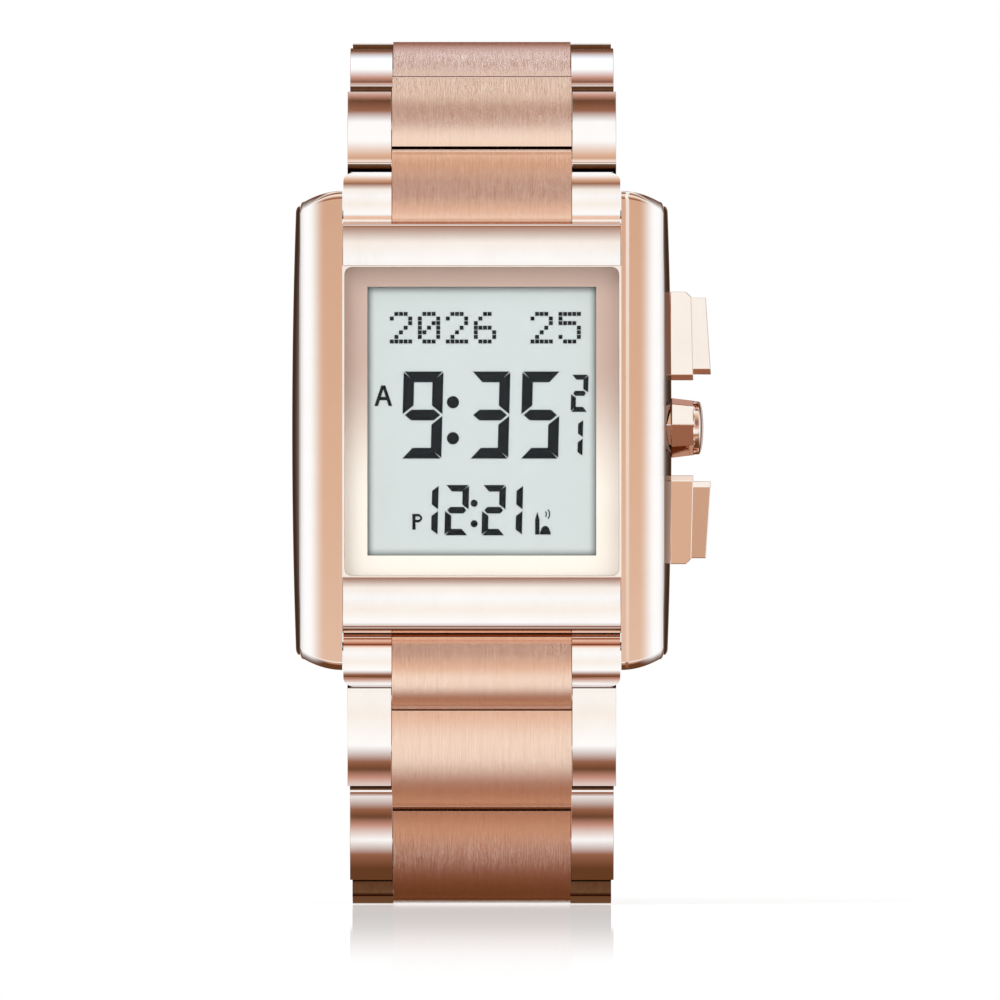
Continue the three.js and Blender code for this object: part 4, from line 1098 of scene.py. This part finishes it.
# Shares of the tent's radius, for rearTurn of a half turn, and for tilt radians
zones = {"middle": (0.03, 0.05), "rightStart": (0.14, 0.155), "rightEnd": (0.25, 0.27),
         "rear": (0.3, 0.6), "rearTurn": (0.5, 0.6),
         "tilt": (math.radians(35), math.radians(85))}
tones = {"black": (20, 10, 10), "dark": (100, 60, 35), "copper": (150, 95, 70),
         "rose": (195, 140, 120), "peach": (220, 175, 145), "cream": (250, 240, 230),
         "white": (255, 252, 250), "plain": [255 * tint ** (1 / 2.2) for tint in steelTint]}
cards = {  # turn in degrees, from the camera's side up over the top, and the tone hung there
    "upper": [(0, "cream"), (20, "white"), (35, "cream"), (50, "copper"), (60, "peach"),
              (70, "white"), (85, "white"), (95, "copper"), (105, "dark"), (110, "rose"),
              (120, "white"), (135, "white"), (150, "copper"), (155, "dark"), (165, "dark"),
              (170, "plain")],
    "lower": [(0, "cream"), (20, "white"), (30, "copper"), (35, "dark"), (40, "rose"),
              (50, "white"), (60, "copper"), (70, "dark"), (165, "dark"), (170, "plain")],
    "sideUpper": [(0, "peach"), (15, "copper"), (30, "copper"), (50, "peach"), (75, "cream"),
                  (80, "copper"), (90, "copper"), (95, "cream"), (110, "cream"), (125, "copper"),
                  (145, "rose"), (160, "copper"), (165, "copper"), (170, "plain")],
    "sideLower": [(0, "peach"), (10, "cream"), (20, "cream"), (30, "copper"), (40, "peach"),
                  (50, "copper"), (65, "dark"), (165, "dark"), (170, "plain")],
    "right": [(-100, "dark"), (-60, "copper"), (-25, "copper"), (-5, "peach"), (5, "cream"),
              (120, "cream"), (140, "black")],
}


def linear(shade):  # a shade given as screen values
    return tuple(value / 255 / 12.92 if value <= 10 else ((value / 255 + 0.055) / 1.055) ** 2.4
                 for value in shade)


def lit(tone):  # the light that shows as this tone in the steel
    return tuple(value / tint / tentBright for value, tint in zip(linear(tones[tone]), steelTint))


def makeTent():  # the glowing sheet that the polished steel mirrors
    radius, half = studio["tentRadius"], studio["tentHalf"]
    made = newObject("lightTent", cylinder(0.0, 0.0, radius, -half, half, 96))
    made.location = objectMiddle
    material, shader = newMaterial("tentSheet")

    def hang(name, factor, start, span):
        stops = [((turn - start) / span, lit(tone)) for turn, tone in cards[name]]
        return shader.node("ShaderNodeValToRGB", {"stops": stops}, {0: factor})
    over = shader.axis("Z").angle(0.0 - shader.axis("Y")) / math.pi
    along = shader.axis("X") / (radius / mm)
    aside = abs(along)
    above, below = over.above(0.0), 0.0 - over
    middle, side = (shader.blend(above, hang(low, below, 0, 180), hang(high, over, 0, 180))
                    for low, high in (("lower", "upper"), ("sideLower", "sideUpper")))
    sheet = shader.blend(aside.ramp(*zones["middle"]), middle, side)
    rightZone = along.ramp(*zones["rightStart"]) * (1.0 - along.ramp(*zones["rightEnd"]))
    sheet = shader.blend(rightZone, sheet, hang("right", over * 0.5 + 0.5, -180, 360))
    rear = aside.ramp(*zones["rear"]) * abs(over).ramp(*zones["rearTurn"])
    sheet = shader.blend(rear, sheet, lit("dark"))
    tilt = abs(shader.axis("X")).angle(shader.length(shader.stretched((0.0, 1.0, 1.0))))
    sheet = shader.blend(tilt.ramp(*zones["tilt"]), sheet, lit("white"))
    glow = shader.node("ShaderNodeEmission", {}, {"Color": sheet, "Strength": tentBright})
    shader.node("ShaderNodeOutputMaterial", {}, {"Surface": glow})
    made.data.materials.append(material)
    for ray in ("camera", "diffuse", "shadow", "transmission", "volume_scatter"):
        setattr(made, "visible_" + ray, False)


def addLamp(name, at, size, watts):
    data = bpy.data.lights.new(name, "AREA")
    data.size, data.energy = size, watts
    made = bpy.data.objects.new(name, data)
    made.location = at
    made.rotation_euler = (objectMiddle - Vector(at)).to_track_quat("-Z", "Y").to_euler()
    made.visible_glossy = False
    bpy.context.scene.collection.objects.link(made)


def makeCamera():
    data = bpy.data.cameras.new("photoCamera")
    data.sensor_width = studio["sensor"]
    data.lens = studio["sensor"] * studio["cameraDistance"] / (studio["frameWidth"] * mm)
    data.clip_start, data.clip_end = 0.1, 60.0
    made = bpy.data.objects.new("photoCamera", data)
    right, up = studio["aim"]
    made.location = (right * mm, caseLow.y - studio["cameraDistance"], up * mm)
    made.rotation_euler = (math.pi / 2, 0, 0)
    bpy.context.scene.collection.objects.link(made)
    bpy.context.scene.camera = made


makeWorld()
makeFloor()
makeTent()
for name, (at, size, watts) in lamps.items():
    addLamp(name, at, size, watts)
makeCamera()
bpy.context.scene.view_settings.view_transform = "Standard"
print("studio made")

bpy.context.view_layer.update()
